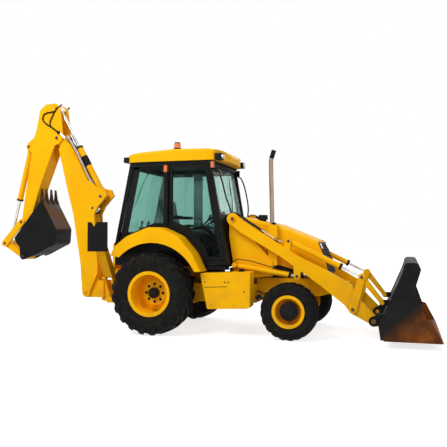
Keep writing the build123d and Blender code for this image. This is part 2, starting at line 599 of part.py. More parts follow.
def boom():
    plate = slab([(-1651, 480), (-1690, 560), (-1723, 1001), (-1765, 1263), (-1870, 1878), (-2015, 2411),
                  (-2180, 3070), (-2110, 3105), (-1990, 3095), (-1760, 2790), (-1600, 2488), (-1402, 2353),
                  (-1266, 2324), (-1217, 2218), (-1390, 2030), (-1462, 1892), (-1430, 1400), (-1395, 1050),
                  (-1395, 860), (-1530, 571), (-1570, 480)],
                 BOOM_IN, BOOM_OUT)
    plate += disc(BOOM_FOOT, 72, BOOM_IN, BOOM_OUT)
    sides = both(plate)
    box = slab([(-1995, 2330), (-1700, 2330), (-1600, 2488), (-1760, 2790), (-1960, 3110), (-2140, 3330),
                (-2300, 3320), (-2310, 3200), (-2195, 3140)], -BOOM_IN - 2, BOOM_IN + 2)
    box += disc(DIPPER_PIVOT, 95, -BOOM_IN - 2, BOOM_IN + 2)
    body = sides + box
    body += skin([(-1672, 650), (-1712, 1001), (-1753, 1263), (-1858, 1878), (-1985, 2345)], 20,
                 -BOOM_IN - 2, BOOM_IN + 2)
    body += disc(DIPPER_CYLINDER_BASE, 28, -BOOM_OUT, BOOM_OUT)
    body += disc(DIPPER_PIVOT, 30, -DIPPER_OUT - 8, DIPPER_OUT + 8)
    body -= disc(BOOM_FOOT, 32 + FIT, -BOOM_OUT - 1, BOOM_OUT + 1)
    nodes["boom"] = body


def dipper():
    outline = [(-2577, 3774), (-2454, 3877), (-2252, 3886), (-2165, 3810), (-2120, 3450), (-2110, 3250),
               (-2180, 3160), (-2271, 3130), (-2561, 2411), (-2672, 2063), (-2836, 1470), (-2905, 1380),
               (-2975, 1450), (-2965, 1700), (-2923, 1847), (-2853, 2331), (-2735, 3060), (-2686, 3318),
               (-2648, 3407)]
    plate = slab(outline, DIPPER_IN, DIPPER_OUT)
    plate -= disc(DIPPER_PIVOT, 30 + FIT, DIPPER_IN - 1, DIPPER_OUT + 1)
    core = slab([(-2600, 3560), (-2577, 3774), (-2500, 3838), (-2480, 3810), (-2480, 3500), (-2400, 3100),
                 (-2390, 2840), (-2561, 2411), (-2672, 2063), (-2836, 1470), (-2905, 1380), (-2975, 1450),
                 (-2965, 1700), (-2923, 1847), (-2853, 2331), (-2735, 3060), (-2686, 3318), (-2648, 3407)],
                -DIPPER_IN, DIPPER_IN)
    body = both(plate) + core
    for side in (1, -1):
        low, high = sorted((side * 60, side * 85))
        body += slab([(-2640, 3370), (-2848, 3212), (-2900, 3130), (-2870, 3075), (-2738, 3000)], low, high)
    body += disc(HOE_CYLINDER_BASE, 26, -92, 92)
    for pin, radius in ((HOE_HINGE, 70), (LEVER_PIVOT, 50)):
        body += disc(pin, radius, -DIPPER_OUT, DIPPER_OUT)
        body += disc(pin, 26, -EAR_OUT - 6, EAR_OUT + 6)
    nodes["dipper"] = body


def hoe_linkage():
    lever = strap(LEVER_PIVOT, LEVER_END, 55, LEVER_EYE, EAR_IN, EAR_OUT)
    lever -= disc(LEVER_PIVOT, 26 + FIT, EAR_IN - 1, EAR_OUT + 1)
    lever += disc(LEVER_END, 26, 62, EAR_IN + 1)
    nodes["bucket_levers"] = both(lever)

    link = both(strap(LEVER_END, HOE_LINK_PIN, 52, 56, 62, 138))
    link += disc(HOE_LINK_PIN, 56, -62, 62)
    link -= disc(LEVER_END, 26 + FIT, 61, 139)
    link -= disc(LEVER_END, 26 + FIT, -139, -61)
    nodes["hoe_link"] = link


def backhoe_bucket():
    half = HOE_BUCKET_HALF
    lip, notch, heel = (-2456, 2156), (-3013, 1472), (-2964, 1373)
    back, toe, front = (-2680, 1134), (-2174, 1376), (-2157, 1631)
    mouth = (-2790, 1500)
    wrapper = skin([lip, front, toe, back, mouth], 16, -half, half, corner=70)
    cheek = slab([lip, notch, heel, back, toe, front], half - 14, half, corner=20)
    bucket = wrapper + both(cheek)
    for low in (EAR_IN, -EAR_OUT):
        ear = slab([(-2965, 1440), (-2900, 1515), (-2800, 1480), (-2686, 1160), (-2830, 1100), (-2900, 1090),
                    (-2940, 1150)], low, low + EAR_OUT - EAR_IN)
        ear += disc(HOE_HINGE, 66, low, low + EAR_OUT - EAR_IN)
        ear += disc(HOE_LINK_PIN, 60, low, low + EAR_OUT - EAR_IN)
        bucket += ear - disc(HOE_HINGE, 26 + FIT, low - 1, low + EAR_OUT - EAR_IN + 1)
    # teeth stand on the lip, turned outwards from the front plate, with a keel along their middle
    tooth = [(-2395, 2098), (-2433, 2180), (-2464, 2360), (-2478, 2356), (-2492, 2150), (-2452, 2064)]
    keel = SIDE[0] * make_face(Polyline(*tooth, close=True))
    for y in (-half + 30, -half * 0.3, half * 0.3, half - 30):
        bucket += Pos(0, y, 0) * extrude(keel, 28, both=True, taper=12)
    nodes["backhoe_bucket"] = bucket


def hoe_cylinders():
    # base pin, rod pin, barrel and rod lengths, barrel and rod radii, half widths of the two eyes, base pin radius
    for name, base, pin, barrel_length, rod_length, radius, rod, base_half, rod_half, base_pin in (
        ("boom", BOOM_CYLINDER_BASE, BOOM_ROD_PIN, 1185, 1160, 52, 30, 54, 97, 26),
        ("dipper", DIPPER_CYLINDER_BASE, DIPPER_ROD_PIN, 1030, 985, 55, 30, 97, 106, 28),
        ("hoe_bucket", HOE_CYLINDER_BASE, LEVER_END, 1010, 1080, 50, 28, 54, 56, 26),
    ):
        nodes[f"{name}_barrel"] = barrel(base, pin, barrel_length, radius, rod, 50, base_half, base_pin)
        nodes[f"{name}_rod"] = piston_rod(base, pin, rod_length, rod, 50, rod_half, 26)


def stabilizers():
    middle = (LEG_REAR + LEG_FRONT) / 2
    reach = math.dist(LEG_PIVOT, LEG_TIP)
    web_inner = 62
    for name, side in (("left", 1), ("right", -1)):
        def hand(point):
            return (side * point[0], point[1])

        leg = Part()
        for low in (LEG_REAR, LEG_FRONT - PLATE):
            leg += strap(hand(LEG_PIVOT), hand(LEG_TIP), 70, 60, low, low + PLATE, END)
        # the web closes the lower, outer side of the channel
        direction = ((LEG_TIP[0] - LEG_PIVOT[0]) / reach, (LEG_TIP[1] - LEG_PIVOT[1]) / reach)
        out = (direction[1], -direction[0])
        web = [
            (LEG_PIVOT[0] + direction[0] * step + out[0] * depth, LEG_PIVOT[1] + direction[1] * step + out[1] * depth)
            for step, depth in ((370, 42), (370, 60), (reach - 80, 56), (reach - 80, 38))
        ]
        leg += slab([hand(point) for point in web], LEG_REAR, LEG_FRONT, END)
        leg -= disc(hand(LEG_PIVOT), 26 + FIT, LEG_REAR - 1, LEG_FRONT + 1, END)
        leg += disc(hand(LEG_TIP), 24, LEG_REAR - 8, LEG_FRONT + 8, END)
        nodes[f"stabilizer_arm_{name}"] = leg

        pad = slab([hand(p) for p in ((1080, 1270), (1080, 1730), (1100, 1730), (1100, 1270))], -1040, -700, END)
        for low in (LEG_REAR - 28, LEG_FRONT + 8):
            ear = strap(hand(LEG_TIP), hand((1082, 1540)), 45, 60, low, low + PLATE, END)
            ear += slab([hand(p) for p in ((1000, 1640), (1082, 1700), (1082, 1400), (985, 1570))], low, low + PLATE, END)
            pad += ear - slab([hand(p) for p in ((1099, 1200), (1200, 1200), (1200, 1800), (1099, 1800))],
                              low - 1, low + PLATE + 1, END)
        pad -= disc(hand(LEG_TIP), 24, LEG_REAR - 60, LEG_FRONT + 60, END)
        low, high = sorted((side * 1079, side * 1101))
        pad -= slab([(-985, 1731), (-930, 1655), (-875, 1731)], low, high)
        nodes[f"stabilizer_pad_{name}"] = pad

        base, pin = hand(LEG_CYLINDER_BASE), hand(LEG_ROD_PIN)
        nodes[f"stabilizer_barrel_{name}"] = barrel(base, pin, 565, 42, 22, 40, 48, 26, middle, END)
        nodes[f"stabilizer_rod_{name}"] = piston_rod(base, pin, 545, 22, 40, 48, 22, middle, END)


# ---------------------------------------------------------------- build and write
for build in (wheels, axles, chassis, fenders, cab, hood, grille, loader, loader_bucket, kingpost, boom, dipper,
              hoe_linkage, backhoe_bucket, hoe_cylinders, stabilizers):
    build()

os.makedirs("parts", exist_ok=True)
for name, body in nodes.items():
    export_step(Pos(-MID_X, 0, 0) * body, f"parts/{name}.step")
print(len(nodes), "nodes written")
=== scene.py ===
"""Looks of the backhoe loader: materials, fittings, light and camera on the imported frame."""
import json
import math
import bmesh
import bpy
from mathutils import Matrix, Vector


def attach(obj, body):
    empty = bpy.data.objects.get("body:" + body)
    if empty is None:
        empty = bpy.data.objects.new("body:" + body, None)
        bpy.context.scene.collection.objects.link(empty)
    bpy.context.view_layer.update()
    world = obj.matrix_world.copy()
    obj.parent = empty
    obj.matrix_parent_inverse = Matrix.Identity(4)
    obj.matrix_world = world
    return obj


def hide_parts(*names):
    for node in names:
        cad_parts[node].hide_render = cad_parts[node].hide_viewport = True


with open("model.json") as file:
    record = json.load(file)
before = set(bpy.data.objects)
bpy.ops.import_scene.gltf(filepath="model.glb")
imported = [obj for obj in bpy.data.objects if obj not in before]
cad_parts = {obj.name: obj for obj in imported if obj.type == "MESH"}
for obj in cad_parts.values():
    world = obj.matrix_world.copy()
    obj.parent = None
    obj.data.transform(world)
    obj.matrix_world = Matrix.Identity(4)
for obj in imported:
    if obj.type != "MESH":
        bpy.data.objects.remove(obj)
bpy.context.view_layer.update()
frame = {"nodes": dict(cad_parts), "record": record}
nodes = frame["nodes"]

# ---------------- sizes, in millimetres
# x is forward from the rear axle, y to the left, z up from the ground
MID_X = 443.5  # the row frame's origin on that x axis
CAB_HALF = 720  # half the width of the cab
REAR = dict(x=0, y=914, radius=632, width=442, bead=305, flange=346, disc=858, hub=80,
            lugs=20, lug_height=34, lug_width=62, studs=8, pitch=137)
FRONT = dict(x=2115, y=830, radius=419, width=303, bead=205, flange=240, disc=850, hub=122,
             lugs=20, lug_height=24, lug_width=42)
ARM_OUT = 640  # outer face of a loader arm
ARM_MID = 595
STACK_Y = -447
BEACON = (268, -600)
# pins and pivots in side view, as (x, z)
ARM_PIVOT = (1195, 1775)
BUCKET_HINGE = (3301, 291)
LIFT_BASE = (1215, 1066)
LIFT_ROD_PIN = (2190, 912)
TILT_BASE = (2062, 1437)
BELLCRANK_TOP = (3136, 919)
BELLCRANK_FOOT = (3005, 452)
BOOM_FOOT = (-1615, 525)
BOOM_CYLINDER_BASE = (-1450, 740)
BOOM_ROD_PIN = (-1500, 2000)
DIPPER_CYLINDER_BASE = (-1345, 2200)
DIPPER_PIVOT = (-2230, 3263)
DIPPER_ROD_PIN = (-2240, 3795)
HOE_CYLINDER_BASE = (-2840, 3140)
LEVER_PIVOT = (-2922, 1761)
LEVER_END = (-3269, 1376)
HOE_LINK_PIN = (-2881, 1143)
HOE_HINGE = (-2905, 1450)
SIDES = (("left", 1), ("right", -1))
# where sheets stand in side view: a point (x, z) and the lean in millimetres for each one of height
NOSE_CORNER = (2578, 1172)
NOSE_LEAN_ABOVE = 0.4328
NOSE_LEAN_BELOW = 0.2434
SCREEN_FOOT = (1000, 1842)
SCREEN_LEAN = 0.2063
REAR_FOOT = (-712, 1562)
REAR_LEAN = 0.2046
# looks and cushions, in metres
DUST_AND_SHADE_HEIGHTS = (0.15, 1.15)  # road dirt on the black paint and painted shade on the yellow paint thin out between them
SCREEN_START = 0.33  # of the cab's own glass, what is ahead of this x is the windscreen
CUSHION_STEP = 0.009
CUSHION_FRAMES = 20
CUSHION_PRESSURE = 4
CHANNEL = 0.006  # depth and reach of a sewn channel


def at(x, y, z):
    """A point of the machine in metres in the row frame."""
    return Vector(((x - MID_X) / 1000, y / 1000, z / 1000))


# ---------------- materials
def shader(name):
    """A new material with its node tree and main shader."""
    mat = bpy.data.materials.new(name)
    mat.use_nodes = True
    return mat, mat.node_tree, mat.node_tree.nodes["Principled BSDF"]


def own_coords(tree):
    """The piece's own coordinates."""
    return tree.nodes.new("ShaderNodeTexCoord").outputs["Object"]


def noise(tree, scale, detail=5, stretch=(1, 1, 1)):
    """Noise over the piece's own coordinates."""
    mapping = tree.nodes.new("ShaderNodeMapping")
    mapping.inputs["Scale"].default_value = stretch
    field = tree.nodes.new("ShaderNodeTexNoise")
    field.inputs["Scale"].default_value = scale
    field.inputs["Detail"].default_value = detail
    tree.links.new(own_coords(tree), mapping.inputs["Vector"])
    tree.links.new(mapping.outputs["Vector"], field.inputs["Vector"])
    return field.outputs["Fac"]


def ramp(tree, value, stops):
    """Colours or greys by value: (position, colour) stops."""
    node = tree.nodes.new("ShaderNodeValToRGB")
    elements = node.color_ramp.elements
    while len(elements) < len(stops):
        elements.new(0.5)
    for element, (position, colour) in zip(elements, stops):
        element.position = position
        element.color = (*colour, 1)
    tree.links.new(value, node.inputs["Fac"])
    return node.outputs["Color"]


def grey(level):
    return (level, level, level)


def shaded(colour, factor):
    """A colour made darker or lighter."""
    return tuple(c * factor for c in colour)


def mixed(tree, factor, first, second):
    """A blend of two colour outputs by a factor output."""
    node = tree.nodes.new("ShaderNodeMix")
    node.data_type = "RGBA"
    tree.links.new(factor, node.inputs["Factor"])
    for socket, colour in (("A", first), ("B", second)):
        target = [i for i in node.inputs if i.name == socket and i.type == "RGBA"][0]
        if isinstance(colour, tuple):
            target.default_value = (*colour, 1)
        else:
            tree.links.new(colour, target)
    return [o for o in node.outputs if o.type == "RGBA"][0]


def height(tree, low, high):
    """1 at the low height in metres, falling to 0 at the high one."""
    split = tree.nodes.new("ShaderNodeSeparateXYZ")
    span = tree.nodes.new("ShaderNodeMapRange")
    span.inputs["From Min"].default_value = low
    span.inputs["From Max"].default_value = high
    span.inputs["To Min"].default_value = 1
    span.inputs["To Max"].default_value = 0
    tree.links.new(own_coords(tree), split.inputs["Vector"])
    tree.links.new(split.outputs["Z"], span.inputs["Value"])
    return span.outputs["Result"]


def slope(tree, point, normal, width):
    """0 behind a plane through a point in metres, rising to 1 over a width in front of it."""
    dot = tree.nodes.new("ShaderNodeVectorMath")
    dot.operation = "DOT_PRODUCT"
    way = Vector(normal).normalized()
    dot.inputs[1].default_value = way
    span = tree.nodes.new("ShaderNodeMapRange")
    start = way.dot(Vector(point))
    span.inputs["From Min"].default_value = start
    span.inputs["From Max"].default_value = start + width
    tree.links.new(own_coords(tree), dot.inputs[0])
    tree.links.new(dot.outputs["Value"], span.inputs["Value"])
    return span.outputs["Result"]


def worked_out(tree, operation, first, second):
    """A math node on an output and a second output or a number."""
    node = tree.nodes.new("ShaderNodeMath")
    node.operation = operation
    tree.links.new(first, node.inputs[0])
    if isinstance(second, float):
        node.inputs[1].default_value = second
    else:
        tree.links.new(second, node.inputs[1])
    return node.outputs["Value"]


def bump(tree, bsdf, value, strength, depth, soften=0):
    """Relief from a value, on edges softened by a radius in metres."""
    node = tree.nodes.new("ShaderNodeBump")
    node.inputs["Strength"].default_value = strength
    node.inputs["Distance"].default_value = depth
    tree.links.new(value, node.inputs["Height"])
    if soften:
        edge = tree.nodes.new("ShaderNodeBevel")
        edge.samples = 4
        edge.inputs["Radius"].default_value = soften
        tree.links.new(edge.outputs["Normal"], node.inputs["Normal"])
    tree.links.new(node.outputs["Normal"], bsdf.inputs["Normal"])


def paint(name, colour, faded, patch_colour, specular, rough=0.42, coat=0.02):
    """Sprayed paint: cloudy colour, a patchy second colour towards the ground (road dirt on black paint,
    painted shade on yellow paint), fine orange peel.
    """
    mat, tree, bsdf = shader(name)
    clouds = ramp(tree, noise(tree, 2.2), [(0.3, faded), (0.62, colour)])
    patches = ramp(tree, noise(tree, 7, 8), [(0.42, grey(0)), (0.75, grey(1))])
    # patchy and thickest near the ground: painted shade on the yellow paint, road dirt on the black paint
    dust_and_shade = worked_out(tree, "MULTIPLY", height(tree, *DUST_AND_SHADE_HEIGHTS), patches)
    tree.links.new(mixed(tree, dust_and_shade, clouds, patch_colour), bsdf.inputs["Base Color"])
    tree.links.new(ramp(tree, noise(tree, 9), [(0.3, grey(rough)), (0.75, grey(rough + 0.16))]),
                   bsdf.inputs["Roughness"])
    bsdf.inputs["Coat Weight"].default_value = coat
    bsdf.inputs["Coat Roughness"].default_value = 0.12
    bsdf.inputs["Specular IOR Level"].default_value = specular
    bump(tree, bsdf, noise(tree, 160, 2), 0.12, 0.001, 0.004)
    return mat


def worn_steel(name, level, rust, mask):
    """Black paint of a grey level, worn to brown steel where the mask says."""
    mat, tree, bsdf = shader(name)
    streaks = noise(tree, 5, 8, (1, 0.35, 1))
    base = ramp(tree, noise(tree, 4), [(0.3, grey(level)), (0.7, grey(level * 2.2))])
    brown = ramp(tree, streaks, [(0.3, shaded(rust, 0.45)), (0.7, rust)])
    scraped = ramp(tree, streaks, [(0.28, grey(0.35)), (0.6, grey(1))])
    where = worked_out(tree, "MULTIPLY", mask(tree), scraped)
    tree.links.new(mixed(tree, where, base, brown), bsdf.inputs["Base Color"])
    tree.links.new(ramp(tree, streaks, [(0.3, grey(0.42)), (0.7, grey(0.7))]), bsdf.inputs["Roughness"])
    bsdf.inputs["Specular IOR Level"].default_value = 0.12
    bump(tree, bsdf, noise(tree, 60, 6), 0.3, 0.0015, 0.003)
    return mat


def metal(name, colour, rough, grain, stretch=(1, 1, 1), tint=None):
    """Bare metal with fine grain, clouded by a darker shade or by a second tint."""
    mat, tree, bsdf = shader(name)
    shade = shaded(colour, 0.72) if tint is None else tint
    tree.links.new(ramp(tree, noise(tree, grain, 6, stretch), [(0.3, shade), (0.7, colour)]),
                   bsdf.inputs["Base Color"])
    matt = ramp(tree, noise(tree, grain * 2, 4, stretch), [(0.3, grey(rough)), (0.7, grey(rough + 0.12))])
    tree.links.new(matt, bsdf.inputs["Roughness"])
    bsdf.inputs["Metallic"].default_value = 1
    bump(tree, bsdf, noise(tree, grain * 6, 2, stretch), 0.05, 0.0005)
    return mat


def moulded(name, colour, rough, grain=260, strength=0.18, patch_colour=None):
    """Moulded plastic or rubber with a fine texture."""
    mat, tree, bsdf = shader(name)
    base = ramp(tree, noise(tree, 6), [(0.3, shaded(colour, 0.7)), (0.7, shaded(colour, 1.3))])
    if patch_colour:
        patches = ramp(tree, noise(tree, 11, 8), [(0.48, grey(0)), (0.8, grey(0.7))])
        base = mixed(tree, patches, base, patch_colour)
    tree.links.new(base, bsdf.inputs["Base Color"])
    tree.links.new(ramp(tree, noise(tree, 30), [(0.3, grey(rough)), (0.7, grey(min(1, rough + 0.15)))]),
                   bsdf.inputs["Roughness"])
    bsdf.inputs["Specular IOR Level"].default_value = 0.14
    bump(tree, bsdf, noise(tree, grain, 3), strength, 0.001, 0.002)
    return mat


def glow_plastic(name, colour, rough=0.12):
    """Clear lamp plastic with moulded ribs."""
    mat, tree, bsdf = shader(name)
    tree.links.new(ramp(tree, noise(tree, 40, 2), [(0.3, shaded(colour, 0.75)), (0.7, colour)]),
                   bsdf.inputs["Base Color"])
    bsdf.inputs["Roughness"].default_value = rough
    bsdf.inputs["Coat Weight"].default_value = 1
    bsdf.inputs["Subsurface Weight"].default_value = 0.2
    bsdf.inputs["Subsurface Radius"].default_value = (0.02, 0.01, 0.005)
    wave = tree.nodes.new("ShaderNodeTexWave")
    wave.inputs["Scale"].default_value = 60
    tree.links.new(own_coords(tree), wave.inputs["Vector"])
    bump(tree, bsdf, wave.outputs["Fac"], 0.25, 0.001)
    return mat


def tinted_glass(name, colour, front):
    """A see-through tint under a mirror-like surface, with another tint for the windscreen."""
    mat, tree, bsdf = shader(name)
    tint = mixed(tree, slope(tree, (SCREEN_START, 0, 0), (1, 0, 0), 0.01), colour, front)
    tree.links.new(tint, bsdf.inputs["Base Color"])
    bsdf.inputs["Transmission Weight"].default_value = 1
    bsdf.inputs["Roughness"].default_value = 0.0
    bsdf.inputs["IOR"].default_value = 1.45
    clear = tree.nodes.new("ShaderNodeBsdfTransparent")
    tree.links.new(tint, clear.inputs["Color"])
    film = tree.nodes.new("ShaderNodeMixShader")
    smear = ramp(tree, noise(tree, 3, 6), [(0.35, grey(0.93)), (0.75, grey(0.82))])
    tree.links.new(smear, film.inputs["Fac"])
    tree.links.new(bsdf.outputs["BSDF"], film.inputs[1])
    tree.links.new(clear.outputs["BSDF"], film.inputs[2])
    out = [n for n in tree.nodes if n.type == "OUTPUT_MATERIAL"][0]
    tree.links.new(film.outputs["Shader"], out.inputs["Surface"])
    return mat


def fabric(name, colour):
    """Woven seat cloth."""
    mat, tree, bsdf = shader(name)
    tree.links.new(ramp(tree, noise(tree, 90, 4), [(0.3, shaded(colour, 0.6)), (0.7, colour)]),
                   bsdf.inputs["Base Color"])
    bsdf.inputs["Roughness"].default_value = 0.9
    bsdf.inputs["Sheen Weight"].default_value = 0.4
    weave = tree.nodes.new("ShaderNodeTexMagic")
    weave.inputs["Scale"].default_value = 500
    tree.links.new(own_coords(tree), weave.inputs["Vector"])
    bump(tree, bsdf, weave.outputs["Fac"], 0.3, 0.001)
    return mat


# the yellow paint's patch colour is its own orange made darker: painted shade on its lower parts
YELLOW = paint("yellow_paint", colour=(1.0, 0.51, 0.0), faded=(0.95, 0.45, 0.0), patch_colour=(0.62, 0.32, 0.02),
               specular=0.09)
BLACK = paint("black_paint", colour=grey(0.003), faded=grey(0.006), patch_colour=(0.025, 0.021, 0.018),
              specular=0.12)
LOADER_STEEL = worn_steel("bucket_steel", 0.0045, (0.36, 0.10, 0.012),
                          lambda t: slope(t, at(3640, 0, 380), (0.66, 0, -0.75), 0.42))
HOE_STEEL = worn_steel("hoe_bucket_steel", 0.003, (0.14, 0.06, 0.010),
                       lambda t: slope(t, at(-2163, 0, 1631), (0.87, 0, 0.494), 0.012))
CHROME = metal("chrome_rod", (0.80, 0.80, 0.82), rough=0.06, grain=8)
STEEL = metal("pin_steel", (0.09, 0.085, 0.08), rough=0.4, grain=14)
STACK = metal("exhaust_steel", (0.42, 0.34, 0.27), rough=0.38, grain=5, stretch=(6, 6, 0.6),
              tint=(0.24, 0.16, 0.11))
IRON = moulded("engine_iron", grey(0.06), 0.6)
PLASTIC = moulded("black_plastic", grey(0.006), 0.5)
HOSE = moulded("hose_rubber", grey(0.005), 0.42, grain=400, strength=0.3)
TYRE = moulded("tyre_rubber", grey(0.005), 0.7, grain=90, strength=0.25, patch_colour=(0.024, 0.018, 0.009))
GREEN_TINT = (0.64, 0.80, 0.76)
GLASS = tinted_glass("side_glass", GREEN_TINT, GREEN_TINT)
SCREEN = tinted_glass("cab_glass", GREEN_TINT, front=(0.90, 0.93, 0.91))
RUBBED = worn_steel("hub_rust", 0.02, (0.42, 0.16, 0.03), lambda t: noise(t, 12))
AMBER = glow_plastic("amber_lens", (0.95, 0.20, 0.01))
CLEAR = glow_plastic("clear_lens", (0.85, 0.87, 0.88), rough=0.05)
SEAT = fabric("seat_cover", (0.03, 0.03, 0.035))

by_slot = {
    "yellow_paint": YELLOW, "black_paint": BLACK, "bucket_steel": LOADER_STEEL,
    "chrome_rod": CHROME, "exhaust_steel": STACK, "engine_iron": IRON, "black_plastic": PLASTIC,
    "tyre_rubber": TYRE, "tinted_glass": GLASS, "lamp_plastic": PLASTIC, "seat_cover": SEAT,
}
for entry in frame["record"]["subparts"]:
    node = nodes[entry["node"]]
    node.data.materials.clear()
    node.data.materials.append(by_slot[entry["material_slot"]])
nodes["backhoe_bucket"].data.materials[0] = HOE_STEEL
nodes["cab_glass"].data.materials[0] = SCREEN


# ---------------- shapes
def turned(axis):
    """The turn that takes +Z to an axis."""
    return Vector(axis).to_track_quat("Z", "Y").to_matrix().to_4x4()


def turns(count):
    """Evenly spaced angles of a full turn."""
    return [2 * math.pi * k / count for k in range(count)]


def joined(bm, first, second):
    """Faces between two closed rings of the same count."""
    count = len(first)
    return [bm.faces.new((first[k], first[(k + 1) % count], second[(k + 1) % count], second[k]))
            for k in range(count)]


def rounded(bm, edges, radius):
    """Rounds edges by a radius in millimetres."""
    bmesh.ops.bevel(bm, geom=list(edges), offset=radius / 1000, segments=2, affect="EDGES")


def rod(bm, start, end, radius, sides=20, tip=None):
    """A round bar, or a cone when the tip's radius is given: points in metres, radii in millimetres."""
    start, end = Vector(start), Vector(end)
    place = Matrix.Translation((start + end) / 2) @ turned(end - start)
    far_radius = radius if tip is None else tip
    bmesh.ops.create_cone(bm, cap_ends=True, segments=sides, radius1=radius / 1000,
                          radius2=far_radius / 1000, depth=(end - start).length, matrix=place)


def post(bm, x, y, levels, sides):
    """An upright post of round slices: rows of low, high, radius and top radius."""
    for low, high, radius, tip in levels:
        rod(bm, at(x, y, low), at(x, y, high), radius, sides, tip)


def ball(bm, centre, radius, squeeze=(1, 1, 1)):
    """A ball with a radius in millimetres."""
    place = Matrix.Translation(centre) @ Matrix.Diagonal((*squeeze, 1))
    bmesh.ops.create_uvsphere(bm, u_segments=20, v_segments=12, radius=radius / 1000, matrix=place)


def brick(bm, low, high, round_by=0):
    """A box between two corners in metres, its edges rounded by millimetres."""
    low, high = Vector(low), Vector(high)
    place = Matrix.Translation((low + high) / 2) @ Matrix.Diagonal((*[abs(d) for d in high - low], 1))
    made = bmesh.ops.create_cube(bm, size=1, matrix=place)
    if round_by:
        rounded(bm, {e for v in made["verts"] for e in v.link_edges}, round_by)


def plate(bm, outline, low, high, round_by=0):
    """A plate with a side-view outline between two y, all in millimetres."""
    rings = [[bm.verts.new(at(x, y, z)) for x, z in outline] for y in (low, high)]
    faces = [bm.faces.new(rings[0]), bm.faces.new(rings[1][::-1])]
    faces += joined(bm, rings[1], rings[0])
    bmesh.ops.recalc_face_normals(bm, faces=faces)
    if round_by:
        rounded(bm, {e for f in faces for e in f.edges}, round_by)


def span(side, inner, outer):
    """Two distances from the middle as the low and the high y of a side."""
    return sorted((side * inner, side * outer))


def smooth_line(points, steps=8):
    """A Catmull-Rom line through points."""
    pts = [Vector(p) for p in points]
    pts = [pts[0] * 2 - pts[1]] + pts + [pts[-1] * 2 - pts[-2]]
    line = []
    for a, b, c, d in zip(pts, pts[1:], pts[2:], pts[3:]):
        for i in range(steps):
            t = i / steps
            line.append(0.5 * (2 * b + (c - a) * t + (2 * a - 5 * b + 4 * c - d) * t * t
                               + (3 * b - a - 3 * c + d) * t ** 3))
    return line + [pts[-2]]


def pipe(bm, points, radius, sides=10, steps=8):
    """A round tube along a smooth line through points in metres."""
    line = smooth_line(points, steps) if steps > 1 else [Vector(p) for p in points]
    side = (line[1] - line[0]).normalized().orthogonal().normalized()
    rings = []
    for i, p in enumerate(line):
        ahead = (line[min(i + 1, len(line) - 1)] - line[max(i - 1, 0)]).normalized()
        side = (side - ahead * side.dot(ahead)).normalized()
        other = ahead.cross(side)
        rings.append([bm.verts.new(p + (side * math.cos(a) + other * math.sin(a)) * radius / 1000)
                      for a in turns(sides)])
    for ring, following in zip(rings, rings[1:]):
        joined(bm, ring, following)
    bm.faces.new(rings[0][::-1])
    bm.faces.new(rings[-1])


def bolt(bm, centre, axis, radius, proud, washer=True):
    """A hex head on a washer; its seat is at centre, sizes in millimetres."""
    way = Vector(axis).normalized() / 1000
    centre = Vector(centre)
    if washer:
        rod(bm, centre - way * 1, centre + way * 3, radius * 1.5, 16)
    rod(bm, centre, centre + way * proud, radius * 1.15, 6, radius * 1.05)


def sleeve(bm, start, end, radius, wall):
    """An open ring round a line; its inner radius and wall in millimetres."""
    start, end = Vector(start), Vector(end)
    way = (end - start).normalized()
    side = way.orthogonal().normalized()
    other = way.cross(side)
    corners = ((start, radius), (start, radius + wall), (end, radius + wall), (end, radius))
    rings = [[bm.verts.new(p + (side * math.cos(a) + other * math.sin(a)) * r / 1000) for a in turns(48)]
             for p, r in corners]
    for i in range(len(corners)):
        joined(bm, rings[i - 1], rings[i])


def filled_mesh(name, build):
    """A mesh made by a function that fills it."""
    bm = bmesh.new()
    build(bm)
    mesh = bpy.data.meshes.new(name)
    bm.to_mesh(mesh)
    bm.free()
    return mesh


def placed(name, data):
    """A new object in the scene."""
    obj = bpy.data.objects.new(name, data)
    bpy.context.scene.collection.objects.link(obj)
    return obj


def piece(name, body, material, build, replaced=(), angle=35):
    """A piece of the visual model, with edges sharper than the angle in degrees kept crisp."""
    mesh = filled_mesh(name, build)
    mesh.shade_smooth()
    mesh.set_sharp_from_angle(angle=math.radians(angle))
    mesh.materials.append(material)
    obj = placed(name, mesh)
    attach(obj, body)
    if replaced:
        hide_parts(*replaced)
    return obj


# ---------------- wheels
def wheel_parts(place, w, side):
    """Hub cap, valve, and the rear wheel's nuts or the front wheel's rubbed ring."""
    name = "left" if side > 0 else "right"
    body = f"wheel_{place}_{name}"
    face = side * w["disc"]
    centre = at(w["x"], face, w["radius"])
    out = Vector((0, side, 0))

    def nuts(bm):
        for turn in turns(w["studs"]):
            spot = centre + Vector((math.cos(turn), 0, math.sin(turn))) * w["pitch"] / 1000
            rod(bm, spot + out * 0.0005, spot + out * 0.006, 21, 18)
            rod(bm, spot, spot + out * 0.024, 17, 6)
            rod(bm, spot, spot + out * 0.034, 9, 10)

    def cap(bm):
        radius = w["hub"] + 2
        crown = w["hub"] * 0.7 + 2
        rod(bm, centre, centre + out * 0.0605, radius, 48)
        rod(bm, centre + out * 0.0605, centre + out * 0.066, radius, 48, radius - 10)
        rod(bm, centre + out * 0.061, centre + out * 0.0795, crown, 40)
        rod(bm, centre + out * 0.0795, centre + out * 0.083, crown, 40, crown - 8)
        for turn in turns(8):
            spot = centre + Vector((math.cos(turn), 0, math.sin(turn))) * (radius - 20) / 1000 + out * 0.063
            bolt(bm, spot, out, 8, 9, False)

    def valve(bm):
        spot = centre + Vector((0, 0, -(w["bead"] - 45) / 1000))
        rod(bm, spot - out * 0.03, spot + out * 0.03, 6, 10, 4)

    def rubbed_ring(bm):
        sleeve(bm, centre, centre + out * 0.012, w["hub"] + 2, 24)

    if place == "rear":
        piece(f"wheel_nuts_{place}_{name}", body, PLASTIC, nuts)
    else:
        piece(f"hub_ring_{place}_{name}", body, RUBBED, rubbed_ring)
    piece(f"hub_cap_{place}_{name}", body, PLASTIC, cap)
    piece(f"tyre_valve_{place}_{name}", body, HOSE, valve)


